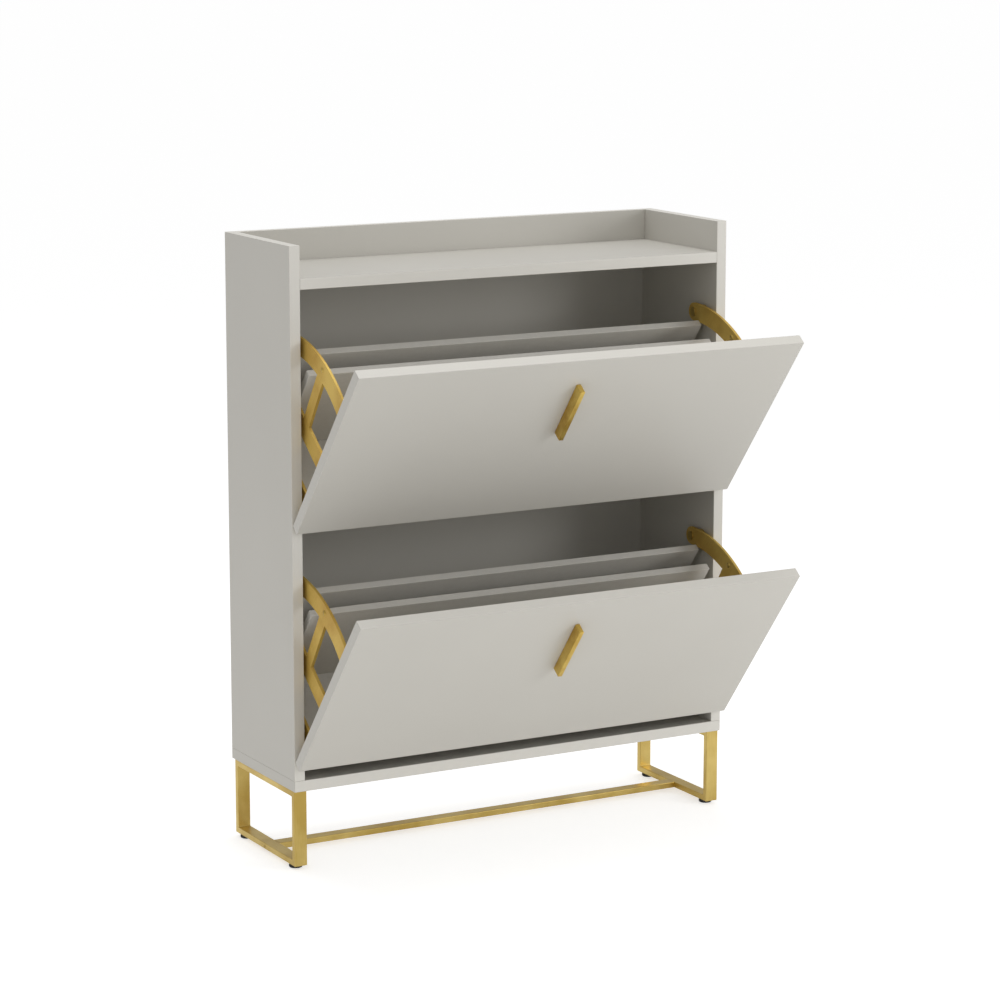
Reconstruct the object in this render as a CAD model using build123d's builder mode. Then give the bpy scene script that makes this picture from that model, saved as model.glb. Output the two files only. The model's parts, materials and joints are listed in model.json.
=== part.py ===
from build123d import *
import math
import os

# Slim shoe cabinet with two tip-out bins on a metal base.
# Millimetres. X runs to the right and Y to the back, with Y = 0 in the plane of the carcass's front edges,
# and Z runs up from the floor. Both bins are drawn tipped open, with their arms against the stops.

os.makedirs("parts", exist_ok=True)

# ---- Carcass ----
WIDTH = 800.0
DEPTH = 240.0
HEIGHT = 1000.0
BOARD = 18.0
BASE_HEIGHT = 130.0
GALLERY_HEIGHT = 51.0
GALLERY_THICKNESS = 12.0
BACK_THICKNESS = 5.0
REBATE = 9.0
BACK_PLAY = 0.5
EDGE_SOFTENING = 0.8

# ---- Doors ----
DOOR_THICKNESS = 18.0
DOOR_SIDE_REVEAL = 1.0
DOOR_TOP_GAP = 11.0
DOOR_MIDDLE_GAP = 30.0
DOOR_BOTTOM_GAP = 38.0
DOOR_AIR_GAP = 3.0
DOOR_SOFTENING = 1.0
BUMPER_RADIUS = 4.0
BUMPER_AIR = 0.3
BUMPER_INSET = 24.0

# ---- Tipping motion ----
PIVOT_SETBACK = 8.0
WIDEST_TILT = 38.7
ARM_REST_ANGLE = 9.3
ARM_BACK_CLEARANCE = 4.0

# ---- Side frames ----
PLATE = 5.0
WALL_GAP = 6.0
TIP_DROP = 72.0
ARM_WIDTH = 30.0
ARM_BEND_RADIUS = 245.0
ARM_BEND_SETBACK = 60.0
STRUT_WIDTH = 22.0
STRUT_SETBACK = 86.0
STRUT_LEAN = 5.5
RAIL_WIDTH = 24.0
CROSS_WIDTH = 29.0
CROSS_RISE = 114.5
PLATE_CORNER = 2.5
PLATE_SOFTENING = 0.5
RIVET_RADIUS = 2.5
RIVET_HEAD_RADIUS = 4.5
RIVET_HEAD = 1.8

# ---- Racks ----
RACK_BOARD = 12.0
RACK_BACK_GAP = 40.0
RACK_HEIGHT = 188.0
RACK_FLOOR_RISE = 20.0
REAR_SLOT = 31.0
RACK_SCREW_LENGTH = 20.0
RACK_SCREW_INSET = 30.0

# ---- Pivots and stops ----
PIN_RADIUS = 4.0
PIN_CLEARANCE = 0.05
PIN_HEAD_RADIUS = 8.0
PIN_HEAD = 3.0
PIN_THREAD_RADIUS = 2.5
PIN_THREAD = 12.0
BUSH_RADIUS = 6.0
BUSH_FLANGE_RADIUS = 9.0
RUNNING_GAP = 0.5
HEAD_GAP = 0.3
BOSS_RADIUS = 11.0
BOSS_STEM_RADIUS = 3.0
BOSS_STEM = 11.0
STUD_RADIUS = 6.5
STUD_SHANK_RADIUS = 3.5
STUD_HEAD_RADIUS = 7.5
STUD_HEAD = 2.0
STOP_GAP = 0.3

# ---- Door angles ----
ANGLE_THICKNESS = 2.0
ANGLE_LEG = 18.0
ANGLE_BASE_RISE = 50.0
FIRST_BOLT_RISE = 100.0
ANGLE_SCREW_EDGE = 30.0
ANGLE_SCREW_BITE = 11.0
BOLT_RADIUS = 2.0
BOLT_HEAD_RADIUS = 4.5
BOLT_HEAD = 2.2
NUT_RADIUS = 3.8
NUT = 2.4

# ---- Handles ----
HANDLE_LENGTH = 110.0
HANDLE_WIDTH = 8.0
HANDLE_REACH = 18.0
HANDLE_DROP = 109.0
HANDLE_SOFTENING = 1.2
HANDLE_SCREW_SPACING = 64.0
HANDLE_SCREW_RADIUS = 2.0
HANDLE_SCREW_BITE = 8.0

# ---- Base ----
TUBE_WIDTH = 22.0
TUBE_THICKNESS = 10.0
TUBE_WALL = 1.5
TUBE_CORNER = 1.2
LEG_SIDE_INSET = 1.0
LEG_FRONT_INSET = 5.0
LEG_BACK_INSET = 9.0
GLIDE_HEIGHT = 6.0
GLIDE_RADIUS = 11.0
GLIDE_STEM_RADIUS = 5.0
GLIDE_STEM = 6.0
GLIDE_CORNER = 1.5
GLIDE_INSET = 20.0
LEG_SCREW_INSET = 25.0
LEG_SCREW_RADIUS = 2.0
LEG_SCREW_BITE = 13.0
END_BLOCK = 20.0
STRETCHER_SCREW_RADIUS = 2.5
STRETCHER_SCREW_BITE = 15.0

# ---- Carcass fixings ----
CONFIRMAT_RADIUS = 2.5
CONFIRMAT_HEAD_RADIUS = 4.5
CONFIRMAT_HEAD = 3.0
CONFIRMAT_LENGTH = 48.0
CONFIRMAT_INSET = 60.0
CAM_RADIUS = 7.5
CAM_DEPTH = 12.5
CAM_SLOT = 2.5
CAM_SETBACK = 34.0
CAM_INSET = 50.0
CAM_BOLT_RADIUS = 3.0
CAM_BOLT_BITE = 11.0
DOWEL_RADIUS = 4.0
GALLERY_DOWEL_RADIUS = 3.0
DOWEL_BITE = 12.0
DOWEL_LENGTH = 32.0
GALLERY_SCREW_DROP = 4.5
GALLERY_SCREW_SPREAD = 300.0
GALLERY_SCREW_LENGTH = 40.0
SCREW_RADIUS = 1.75
SCREW_HEAD_RADIUS = 3.5
SCREW_HEAD = 2.0
BACK_SCREW_RADIUS = 1.5
BACK_SCREW_HEAD_RADIUS = 3.0
BACK_SCREW_LENGTH = 18.0
BACK_SCREW_INSET = 60.0
BACK_SCREW_ROWS = 4
SOCKET_SHARE = 0.5

# ---- Worked out from the sizes above ----
half_width = WIDTH / 2
inner_wall = half_width - BOARD
floor_top = BASE_HEIGHT + BOARD
shelf_top = HEIGHT - GALLERY_HEIGHT
shelf_under = shelf_top - BOARD
back_face = DEPTH - BACK_THICKNESS
gallery_front = DEPTH - GALLERY_THICKNESS

door_gaps = DOOR_TOP_GAP + DOOR_MIDDLE_GAP + DOOR_BOTTOM_GAP
door_height = (shelf_under - floor_top - door_gaps) / 2
door_half = half_width - DOOR_SIDE_REVEAL
lower_pivot = floor_top + DOOR_BOTTOM_GAP
upper_pivot = lower_pivot + door_height + DOOR_MIDDLE_GAP

# Inside a bin, places are given as (back, up) from the pivot line, as they are with the door closed.
door_rear = -(PIVOT_SETBACK + DOOR_AIR_GAP)
door_front = door_rear - DOOR_THICKNESS
eye_radius = -door_rear
tip_radius = door_height - TIP_DROP
arm_reach = back_face - ARM_BACK_CLEARANCE - ARM_WIDTH / 2 - PIVOT_SETBACK
closed_tip_angle = min(math.degrees(math.asin(arm_reach / tip_radius)), WIDEST_TILT + ARM_REST_ANGLE)
tilt = closed_tip_angle - ARM_REST_ANGLE
tip = (
    tip_radius * math.sin(math.radians(closed_tip_angle)),
    tip_radius * math.cos(math.radians(closed_tip_angle)),
)
boss_lead = 2 * math.degrees(math.asin((BOSS_RADIUS + STUD_RADIUS + STOP_GAP) / (2 * tip_radius)))
boss_angle = math.radians(ARM_REST_ANGLE - boss_lead)

# The arm bends about its own centre, which is placed so that the arm's middle line ends at the tip.
tip_bend_angle = math.degrees(math.acos((tip[0] - ARM_BEND_SETBACK) / ARM_BEND_RADIUS))
bend_rise = tip[1] - ARM_BEND_RADIUS * math.sin(math.radians(tip_bend_angle))
bend_to_door = ARM_BEND_SETBACK - door_rear
arm_door_rise = bend_rise + math.sqrt(ARM_BEND_RADIUS**2 - bend_to_door**2)
cross_top = CROSS_RISE + CROSS_WIDTH / 2
strut_length = bend_rise + ARM_BEND_RADIUS - CROSS_RISE
strut_joint = (
    STRUT_SETBACK + strut_length * math.sin(math.radians(STRUT_LEAN)),
    CROSS_RISE + strut_length * math.cos(math.radians(STRUT_LEAN)),
)

plate_outer = inner_wall - WALL_GAP
plate_inner = plate_outer - PLATE
rack_depth = back_face - PIVOT_SETBACK - RACK_BACK_GAP - RACK_BOARD
rack_back = rack_depth + RACK_BOARD
rear_rail = rack_back + (RAIL_WIDTH - RACK_BOARD) / 2
rack_floor_top = RACK_FLOOR_RISE + RACK_BOARD
floor_rail_middle = RACK_FLOOR_RISE + RACK_BOARD / 2
divider_front = rack_depth - REAR_SLOT - RACK_BOARD
divider_middle = divider_front + RACK_BOARD / 2
rear_board_middle = rack_depth + RACK_BOARD / 2
low_screw_rise = (rack_floor_top + CROSS_RISE - CROSS_WIDTH / 2) / 2
bolt_rises = [FIRST_BOLT_RISE, (FIRST_BOLT_RISE + arm_door_rise) / 2, arm_door_rise]
angle_top = arm_door_rise + ARM_WIDTH / 2
angle_screw_rises = [
    ANGLE_BASE_RISE + ANGLE_SCREW_EDGE,
    (ANGLE_BASE_RISE + angle_top) / 2,
    angle_top - ANGLE_SCREW_EDGE,
]
rack_screw_places = [
    (RACK_SCREW_INSET, floor_rail_middle),
    (rack_depth - RACK_SCREW_INSET, floor_rail_middle),
    (rear_board_middle, low_screw_rise),
    (rear_board_middle, CROSS_RISE),
    (divider_middle, low_screw_rise),
    (divider_middle, CROSS_RISE),
]

cosine = math.cos(math.radians(tilt))
sine = math.sin(math.radians(tilt))
backwards = Vector(0, cosine, sine)
forwards = backwards * -1
rightwards = Vector(1, 0, 0)
upwards = Vector(0, 0, 1)
rearwards = Vector(0, 1, 0)
SIDES = {"left": -1, "right": 1}


def save(piece, name):
    """Label a finished piece and write it as its own STEP file."""
    piece.part.label = name
    export_step(piece.part, f"parts/{name}.step")


def inwards(side):
    """Direction from a side panel to the middle of the cabinet."""
    return rightwards * -side


def block(low, high, mode=Mode.ADD):
    """Box between two opposite corners."""
    with Locations(low):
        Box(
            high[0] - low[0],
            high[1] - low[1],
            high[2] - low[2],
            align=(Align.MIN, Align.MIN, Align.MIN),
            mode=mode,
        )


def rods(starts, along, radius, length, mode=Mode.ADD):
    """Round bars, or holes when subtracted, that start at each point and run in one direction."""
    with BuildSketch(*[Plane(origin=start, z_dir=along) for start in starts]) as rounds:
        Circle(radius)
    extrude(rounds.sketch, amount=length, mode=mode)


def sockets(seats, along, radius, depth):
    """Hexagon sockets sunk into screw heads."""
    with BuildSketch(*[Plane(origin=seat, z_dir=along) for seat in seats]) as hexagons:
        RegularPolygon(radius, 6)
    extrude(hexagons.sketch, amount=depth, mode=Mode.SUBTRACT)


def pan_screws(seats, inward, head_radius, head, radius, length):
    """Screws whose round heads stand on a face, with shanks that run inward from each seat."""
    with BuildPart() as screws:
        tops = [seat - inward * head for seat in seats]
        rods(tops, inward, head_radius, head)
        rods(seats, inward, radius, length)
        sockets(tops, inward, head_radius * SOCKET_SHARE, head * SOCKET_SHARE)
    return screws


def flat_screws(seats, inward, head_radius, head, radius, length):
    """Countersunk screws whose heads are flush with a face, with shanks that run inward."""
    taper = math.degrees(math.atan((head_radius - radius) / head))
    with BuildPart() as screws:
        with BuildSketch(*[Plane(origin=seat, z_dir=inward) for seat in seats]) as heads:
            Circle(head_radius)
        extrude(heads.sketch, amount=head, taper=taper)
        rods(seats, inward, radius, length)
        sockets(seats, inward, head_radius * SOCKET_SHARE, head * SOCKET_SHARE)
    return screws


def flat_holes(seats, inward, head_radius, head, radius, length):
    """Countersunk holes of the same shape as the flat screws that fill them."""
    taper = math.degrees(math.atan((head_radius - radius) / head))
    with BuildSketch(*[Plane(origin=seat, z_dir=inward) for seat in seats]) as heads:
        Circle(head_radius)
    extrude(heads.sketch, amount=head, taper=taper, mode=Mode.SUBTRACT)
    rods(seats, inward, radius, length, Mode.SUBTRACT)


# ---- Where the carcass fixings sit ----
depth_stations = [CONFIRMAT_INSET, DEPTH / 2, DEPTH - CONFIRMAT_INSET]
shelf_middle = shelf_under + BOARD / 2
gallery_middle = (gallery_front + DEPTH) / 2
gallery_dowel_rise = shelf_top + GALLERY_HEIGHT / 2
cam_reach = CAM_SETBACK - CAM_RADIUS
cam_stations = [CAM_INSET, DEPTH - CAM_INSET]
gallery_screw_seats = [
    Vector(x, DEPTH, shelf_top - GALLERY_SCREW_DROP)
    for x in (-GALLERY_SCREW_SPREAD, 0, GALLERY_SCREW_SPREAD)
]
back_low = floor_top - REBATE + BACK_PLAY
back_high = shelf_under + REBATE - BACK_PLAY
back_half = inner_wall + REBATE - BACK_PLAY
back_screw_low = floor_top + BACK_SCREW_INSET
back_screw_step = (shelf_under - BACK_SCREW_INSET - back_screw_low) / (BACK_SCREW_ROWS - 1)
back_screw_rises = [back_screw_low + back_screw_step * row for row in range(BACK_SCREW_ROWS)]
back_screw_side = inner_wall + REBATE / 2
tube_middle = half_width - LEG_SIDE_INSET - TUBE_WIDTH / 2
leg_back = DEPTH - LEG_BACK_INSET
leg_screw_stations = [LEG_FRONT_INSET + LEG_SCREW_INSET, leg_back - LEG_SCREW_INSET]


def confirmat_seats(side):
    """Screw seats in the bottom board's underside, below one side panel."""
    return [Vector(side * (half_width - BOARD / 2), y, BASE_HEIGHT) for y in depth_stations]


def back_screw_seats(side):
    """Screw seats in the back panel, behind one side panel."""
    return [Vector(side * back_screw_side, DEPTH, rise) for rise in back_screw_rises]


def leg_screw_seats(side):
    """Screw seats on the underside of one leg frame's top bar."""
    seat = BASE_HEIGHT - TUBE_THICKNESS
    return [Vector(side * tube_middle, y, seat) for y in leg_screw_stations]


def pivot_point(side, pivot_height):
    """Where a bin's pivot line meets the inner face of a side panel."""
    return Vector(side * inner_wall, PIVOT_SETBACK, pivot_height)


def boss_point(side, pivot_height):
    """Where a stop boss meets the inner face of a side panel."""
    back = PIVOT_SETBACK + tip_radius * math.sin(boss_angle)
    return Vector(side * inner_wall, back, pivot_height + tip_radius * math.cos(boss_angle))


# ---- Carcass ----
for hand, side in SIDES.items():
    with BuildPart() as side_panel:
        block((min(side * inner_wall, side * half_width), 0, floor_top),
              (max(side * inner_wall, side * half_width), DEPTH, HEIGHT))
        fillet(side_panel.edges(), EDGE_SOFTENING)
        rebate_edge = side * (inner_wall + REBATE)
        block((min(side * inner_wall, rebate_edge), back_face, floor_top),
              (max(side * inner_wall, rebate_edge), DEPTH, shelf_under + REBATE), Mode.SUBTRACT)
        rods(confirmat_seats(side), upwards, CONFIRMAT_RADIUS, CONFIRMAT_LENGTH, Mode.SUBTRACT)
        back_seats = [seat - rearwards * BACK_THICKNESS for seat in back_screw_seats(side)]
        bite = BACK_SCREW_LENGTH - BACK_THICKNESS
        rods(back_seats, rearwards * -1, BACK_SCREW_RADIUS, bite, Mode.SUBTRACT)
        wall = side * inner_wall
        cam_mouths = [Vector(wall, y, shelf_middle) for y in cam_stations]
        rods(cam_mouths, rightwards * side, CAM_BOLT_RADIUS, CAM_BOLT_BITE, Mode.SUBTRACT)
        rods([Vector(wall, DEPTH / 2, shelf_middle)], rightwards * side, DOWEL_RADIUS,
             DOWEL_BITE, Mode.SUBTRACT)
        rods([Vector(wall, gallery_middle, gallery_dowel_rise)], rightwards * side,
             GALLERY_DOWEL_RADIUS, DOWEL_BITE, Mode.SUBTRACT)
        for pivot_height in (lower_pivot, upper_pivot):
            rods([pivot_point(side, pivot_height)], rightwards * side, PIN_THREAD_RADIUS,
                 PIN_THREAD, Mode.SUBTRACT)
            rods([boss_point(side, pivot_height)], rightwards * side, BOSS_STEM_RADIUS,
                 BOSS_STEM, Mode.SUBTRACT)
    save(side_panel, f"side_panel_{hand}")

with BuildPart() as bottom_board:
    block((-half_width, 0, BASE_HEIGHT), (half_width, DEPTH, floor_top))
    fillet(bottom_board.edges(), EDGE_SOFTENING)
    block((-inner_wall - REBATE, back_face, floor_top - REBATE),
          (inner_wall + REBATE, DEPTH, floor_top), Mode.SUBTRACT)
    for side in SIDES.values():
        flat_holes(confirmat_seats(side), upwards, CONFIRMAT_HEAD_RADIUS, CONFIRMAT_HEAD,
                   CONFIRMAT_RADIUS, CONFIRMAT_LENGTH)
        leg_mouths = [seat + upwards * TUBE_THICKNESS for seat in leg_screw_seats(side)]
        rods(leg_mouths, upwards, LEG_SCREW_RADIUS, LEG_SCREW_BITE, Mode.SUBTRACT)
save(bottom_board, "bottom_board")

with BuildPart() as top_shelf:
    block((-inner_wall, 0, shelf_under), (inner_wall, gallery_front, shelf_top))
    fillet(top_shelf.edges(), EDGE_SOFTENING)
    shelf_seats = [seat - rearwards * GALLERY_THICKNESS for seat in gallery_screw_seats]
    rods(shelf_seats, rearwards * -1, SCREW_RADIUS, GALLERY_SCREW_LENGTH - GALLERY_THICKNESS,
         Mode.SUBTRACT)
    for side in SIDES.values():
        cams = [Vector(side * (inner_wall - CAM_SETBACK), y, shelf_under) for y in cam_stations]
        rods(cams, upwards, CAM_RADIUS, CAM_DEPTH, Mode.SUBTRACT)
        ends = [Vector(side * inner_wall, y, shelf_middle) for y in cam_stations]
        rods(ends, inwards(side), CAM_BOLT_RADIUS, CAM_SETBACK, Mode.SUBTRACT)
        rods([Vector(side * inner_wall, DEPTH / 2, shelf_middle)], inwards(side), DOWEL_RADIUS,
             DOWEL_LENGTH - DOWEL_BITE, Mode.SUBTRACT)
save(top_shelf, "top_shelf")

# The gallery's back board stands behind the shelf, and its foot holds the top of the back panel.
with BuildPart() as gallery_back:
    block((-inner_wall, gallery_front, shelf_under), (inner_wall, DEPTH, HEIGHT))
    fillet(gallery_back.edges(), EDGE_SOFTENING)
    block((-inner_wall, back_face, shelf_under), (inner_wall, DEPTH, shelf_under + REBATE),
          Mode.SUBTRACT)
    flat_holes(gallery_screw_seats, rearwards * -1, SCREW_HEAD_RADIUS, SCREW_HEAD, SCREW_RADIUS,
               GALLERY_THICKNESS)
    for side in SIDES.values():
        rods([Vector(side * inner_wall, gallery_middle, gallery_dowel_rise)], inwards(side),
             GALLERY_DOWEL_RADIUS, DOWEL_LENGTH - DOWEL_BITE, Mode.SUBTRACT)
save(gallery_back, "gallery_back")

with BuildPart() as back_panel:
    block((-back_half, back_face, back_low), (back_half, DEPTH, back_high))
    for side in SIDES.values():
        flat_holes(back_screw_seats(side), rearwards * -1, BACK_SCREW_HEAD_RADIUS, SCREW_HEAD,
                   BACK_SCREW_RADIUS, BACK_THICKNESS)
save(back_panel, "back_panel")

save(flat_screws(confirmat_seats(-1) + confirmat_seats(1), upwards, CONFIRMAT_HEAD_RADIUS,
                 CONFIRMAT_HEAD, CONFIRMAT_RADIUS, CONFIRMAT_LENGTH), "carcass_screws")
save(flat_screws(gallery_screw_seats, rearwards * -1, SCREW_HEAD_RADIUS, SCREW_HEAD, SCREW_RADIUS,
                 GALLERY_SCREW_LENGTH), "gallery_screws")
save(flat_screws(back_screw_seats(-1) + back_screw_seats(1), rearwards * -1,
                 BACK_SCREW_HEAD_RADIUS, SCREW_HEAD, BACK_SCREW_RADIUS, BACK_SCREW_LENGTH),
     "back_panel_screws")

with BuildPart() as cam_locks:
    for side in SIDES.values():
        seats = [Vector(side * (inner_wall - CAM_SETBACK), y, shelf_under) for y in cam_stations]
        rods(seats, upwards, CAM_RADIUS, CAM_DEPTH)
        sockets(seats, upwards, CAM_RADIUS * SOCKET_SHARE, CAM_SLOT)
save(cam_locks, "cam_locks")

with BuildPart() as cam_bolts:
    for side in SIDES.values():
        starts = [Vector(side * (inner_wall + CAM_BOLT_BITE), y, shelf_middle)
                  for y in cam_stations]
        rods(starts, inwards(side), CAM_BOLT_RADIUS, CAM_BOLT_BITE + cam_reach)
        # The bolt's end is hollowed to the cam's round side.
        cams = [Vector(side * (inner_wall - CAM_SETBACK), y, shelf_under) for y in cam_stations]
        rods(cams, upwards, CAM_RADIUS, CAM_DEPTH, Mode.SUBTRACT)
save(cam_bolts, "cam_bolts")

with BuildPart() as dowels:
    for side in SIDES.values():
        end = side * (inner_wall + DOWEL_BITE)
        rods([Vector(end, DEPTH / 2, shelf_middle)], inwards(side), DOWEL_RADIUS, DOWEL_LENGTH)
        rods([Vector(end, gallery_middle, gallery_dowel_rise)], inwards(side),
             GALLERY_DOWEL_RADIUS, DOWEL_LENGTH)
save(dowels, "dowels")

# ---- Base ----
tube_outer = half_width - LEG_SIDE_INSET
tube_inner = tube_outer - TUBE_WIDTH
loop_length = leg_back - LEG_FRONT_INSET
loop_height = BASE_HEIGHT - GLIDE_HEIGHT
loop_middle = ((LEG_FRONT_INSET + leg_back) / 2, (GLIDE_HEIGHT + BASE_HEIGHT) / 2)
stretcher_front = loop_middle[0] - TUBE_WIDTH / 2
stretcher_top = GLIDE_HEIGHT + TUBE_THICKNESS
stretcher_screw_length = TUBE_WIDTH + STRETCHER_SCREW_BITE
glide_stations = [LEG_FRONT_INSET + GLIDE_INSET, leg_back - GLIDE_INSET]


def tube_loop(x_from, width, shrink):
    """Closed loop of flat bar on edge: the tube's outside, or its hollow when shrunk by the wall."""
    with BuildSketch(Plane(origin=(x_from, 0, 0), x_dir=(0, 1, 0), z_dir=(1, 0, 0))) as loop:
        with Locations(loop_middle):
            Rectangle(loop_length - 2 * shrink, loop_height - 2 * shrink)
            inset = 2 * (TUBE_THICKNESS - shrink)
            Rectangle(loop_length - inset, loop_height - inset, mode=Mode.SUBTRACT)
    extrude(loop.sketch, amount=width, mode=Mode.SUBTRACT if shrink else Mode.ADD)


for hand, side in SIDES.items():
    low_x = min(side * tube_inner, side * tube_outer)
    stretcher_seat = Vector(side * tube_outer, loop_middle[0], GLIDE_HEIGHT + TUBE_THICKNESS / 2)
    with BuildPart() as leg_frame:
        tube_loop(low_x, TUBE_WIDTH, 0)
        fillet(leg_frame.edges(), TUBE_CORNER)
        tube_loop(low_x + TUBE_WALL, TUBE_WIDTH - 2 * TUBE_WALL, TUBE_WALL)
        rods(leg_screw_seats(side), upwards, LEG_SCREW_RADIUS, TUBE_THICKNESS, Mode.SUBTRACT)
        rods([Vector(side * tube_middle, y, GLIDE_HEIGHT) for y in glide_stations], upwards,
             GLIDE_STEM_RADIUS, TUBE_WALL, Mode.SUBTRACT)
        flat_holes([stretcher_seat], inwards(side), CONFIRMAT_HEAD_RADIUS, TUBE_WALL,
                   STRETCHER_SCREW_RADIUS, TUBE_WIDTH)
    save(leg_frame, f"leg_frame_{hand}")

with BuildPart() as stretcher:
    block((-tube_inner, stretcher_front, GLIDE_HEIGHT),
          (tube_inner, stretcher_front + TUBE_WIDTH, stretcher_top))
    fillet(stretcher.edges().filter_by(Axis.X), TUBE_CORNER)
    block((-tube_inner + END_BLOCK, stretcher_front + TUBE_WALL, GLIDE_HEIGHT + TUBE_WALL),
          (tube_inner - END_BLOCK, stretcher_front + TUBE_WIDTH - TUBE_WALL,
           stretcher_top - TUBE_WALL), Mode.SUBTRACT)
    for side in SIDES.values():
        mouth = Vector(side * tube_inner, loop_middle[0], GLIDE_HEIGHT + TUBE_THICKNESS / 2)
        rods([mouth], inwards(side), STRETCHER_SCREW_RADIUS, END_BLOCK, Mode.SUBTRACT)
save(stretcher, "stretcher")

with BuildPart() as stretcher_screws:
    for side in SIDES.values():
        seat = Vector(side * tube_outer, loop_middle[0], GLIDE_HEIGHT + TUBE_THICKNESS / 2)
        taper = math.degrees(math.atan((CONFIRMAT_HEAD_RADIUS - STRETCHER_SCREW_RADIUS) / TUBE_WALL))
        with BuildSketch(Plane(origin=seat, z_dir=inwards(side))) as head:
            Circle(CONFIRMAT_HEAD_RADIUS)
        extrude(head.sketch, amount=TUBE_WALL, taper=taper)
        rods([seat], inwards(side), STRETCHER_SCREW_RADIUS, stretcher_screw_length)
        sockets([seat], inwards(side), STRETCHER_SCREW_RADIUS * SOCKET_SHARE, TUBE_WALL)
save(stretcher_screws, "stretcher_screws")

save(pan_screws(leg_screw_seats(-1) + leg_screw_seats(1), upwards, SCREW_HEAD_RADIUS, SCREW_HEAD,
                LEG_SCREW_RADIUS, TUBE_THICKNESS + LEG_SCREW_BITE), "leg_screws")

for hand, side in SIDES.items():
    for place, y in zip(("front", "back"), glide_stations):
        with BuildPart() as glide:
            rods([Vector(side * tube_middle, y, 0)], upwards, GLIDE_RADIUS, GLIDE_HEIGHT)
            rods([Vector(side * tube_middle, y, GLIDE_HEIGHT)], upwards, GLIDE_STEM_RADIUS,
                 GLIDE_STEM)
            fillet(glide.edges().filter_by(GeomType.CIRCLE).group_by(Axis.Z)[0], GLIDE_CORNER)
        save(glide, f"glide_{place}_{hand}")


# ---- Bins ----
def tipped(pivot_height, x, back, up):
    """Point of the open bin, given by its place in the closed bin from the pivot line."""
    y = PIVOT_SETBACK + back * cosine - up * sine
    return Vector(x, y, pivot_height + back * sine + up * cosine)


def side_view(pivot_height, x):
    """Plane across the cabinet at x, with its own axes (back, up) from the pivot line."""
    return Plane(origin=tipped(pivot_height, x, 0, 0), x_dir=backwards, z_dir=(1, 0, 0))


def prism(pivot_height, x_from, x_to, low, high):
    """Straight bar along X with a rectangular section between two (back, up) corners."""
    with BuildSketch(side_view(pivot_height, x_from)) as section:
        with Locations(low):
            Rectangle(high[0] - low[0], high[1] - low[1], align=(Align.MIN, Align.MIN))
    extrude(section.sketch, amount=x_to - x_from)


def frame_outline(plane):
    """Side frame seen from the side: rails, struts and the curved arm, with a round eye at the pivot."""
    bend = (ARM_BEND_SETBACK, bend_rise)
    arm_outer = ARM_BEND_RADIUS + ARM_WIDTH / 2
    arm_inner = ARM_BEND_RADIUS - ARM_WIDTH / 2
    arm_sweep = 90 + math.degrees(math.asin(bend_to_door / arm_inner)) - tip_bend_angle
    rail_foot = floor_rail_middle - RAIL_WIDTH / 2
    with BuildSketch(plane) as outline:
        Circle(eye_radius)
        with Locations((door_rear, 0)):
            Rectangle(2 * eye_radius, arm_door_rise, align=(Align.MIN, Align.MIN))
        with BuildLine():
            outer = CenterArc(bend, arm_outer, tip_bend_angle, arm_sweep)
            inner = CenterArc(bend, arm_inner, tip_bend_angle, arm_sweep)
            Line(outer @ 0, inner @ 0)
            Line(outer @ 1, inner @ 1)
        make_face()
        with Locations(tip):
            Circle(ARM_WIDTH / 2)
        with Locations(Location((STRUT_SETBACK, CROSS_RISE), -STRUT_LEAN)):
            Rectangle(STRUT_WIDTH, strut_length, align=(Align.CENTER, Align.MIN))
        with Locations((0, floor_rail_middle)):
            Rectangle(rear_rail, RAIL_WIDTH, align=(Align.MIN, Align.CENTER))
        with Locations((0, CROSS_RISE)):
            Rectangle(rear_rail, CROSS_WIDTH, align=(Align.MIN, Align.CENTER))
        with Locations((divider_middle, rail_foot)):
            Rectangle(STRUT_WIDTH, cross_top - rail_foot, align=(Align.CENTER, Align.MIN))
        with Locations((rear_rail, rail_foot)):
            Rectangle(RAIL_WIDTH, cross_top - rail_foot, align=(Align.MAX, Align.MIN))
        with Locations((door_rear, 0)):
            Rectangle(ARM_WIDTH, 2 * (arm_door_rise + ARM_WIDTH), align=(Align.MAX, Align.CENTER),
                      mode=Mode.SUBTRACT)
        windows = [wire for face in outline.faces() for wire in face.inner_wires()]
        fillet([corner for wire in windows for corner in wire.vertices()], PLATE_CORNER)
        Circle(BUSH_RADIUS, mode=Mode.SUBTRACT)
        with Locations(tip):
            Circle(STUD_SHANK_RADIUS, mode=Mode.SUBTRACT)
        with Locations(strut_joint):
            Circle(RIVET_RADIUS, mode=Mode.SUBTRACT)
        with Locations(*[(0, rise) for rise in bolt_rises]):
            Circle(BOLT_RADIUS, mode=Mode.SUBTRACT)
        with Locations(*rack_screw_places):
            Circle(SCREW_RADIUS, mode=Mode.SUBTRACT)
    return outline


def rack_board(pivot_height, low, high, screw_places):
    """Rack board between the two side frames, with a screw hole in each end for every screw."""
    with BuildPart() as board:
        prism(pivot_height, -plate_inner, plate_inner, low, high)
        fillet(board.edges(), EDGE_SOFTENING)
        for side in SIDES.values():
            mouths = [tipped(pivot_height, side * plate_inner, *place) for place in screw_places]
            rods(mouths, inwards(side), SCREW_RADIUS, RACK_SCREW_LENGTH - PLATE, Mode.SUBTRACT)
    return board


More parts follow.
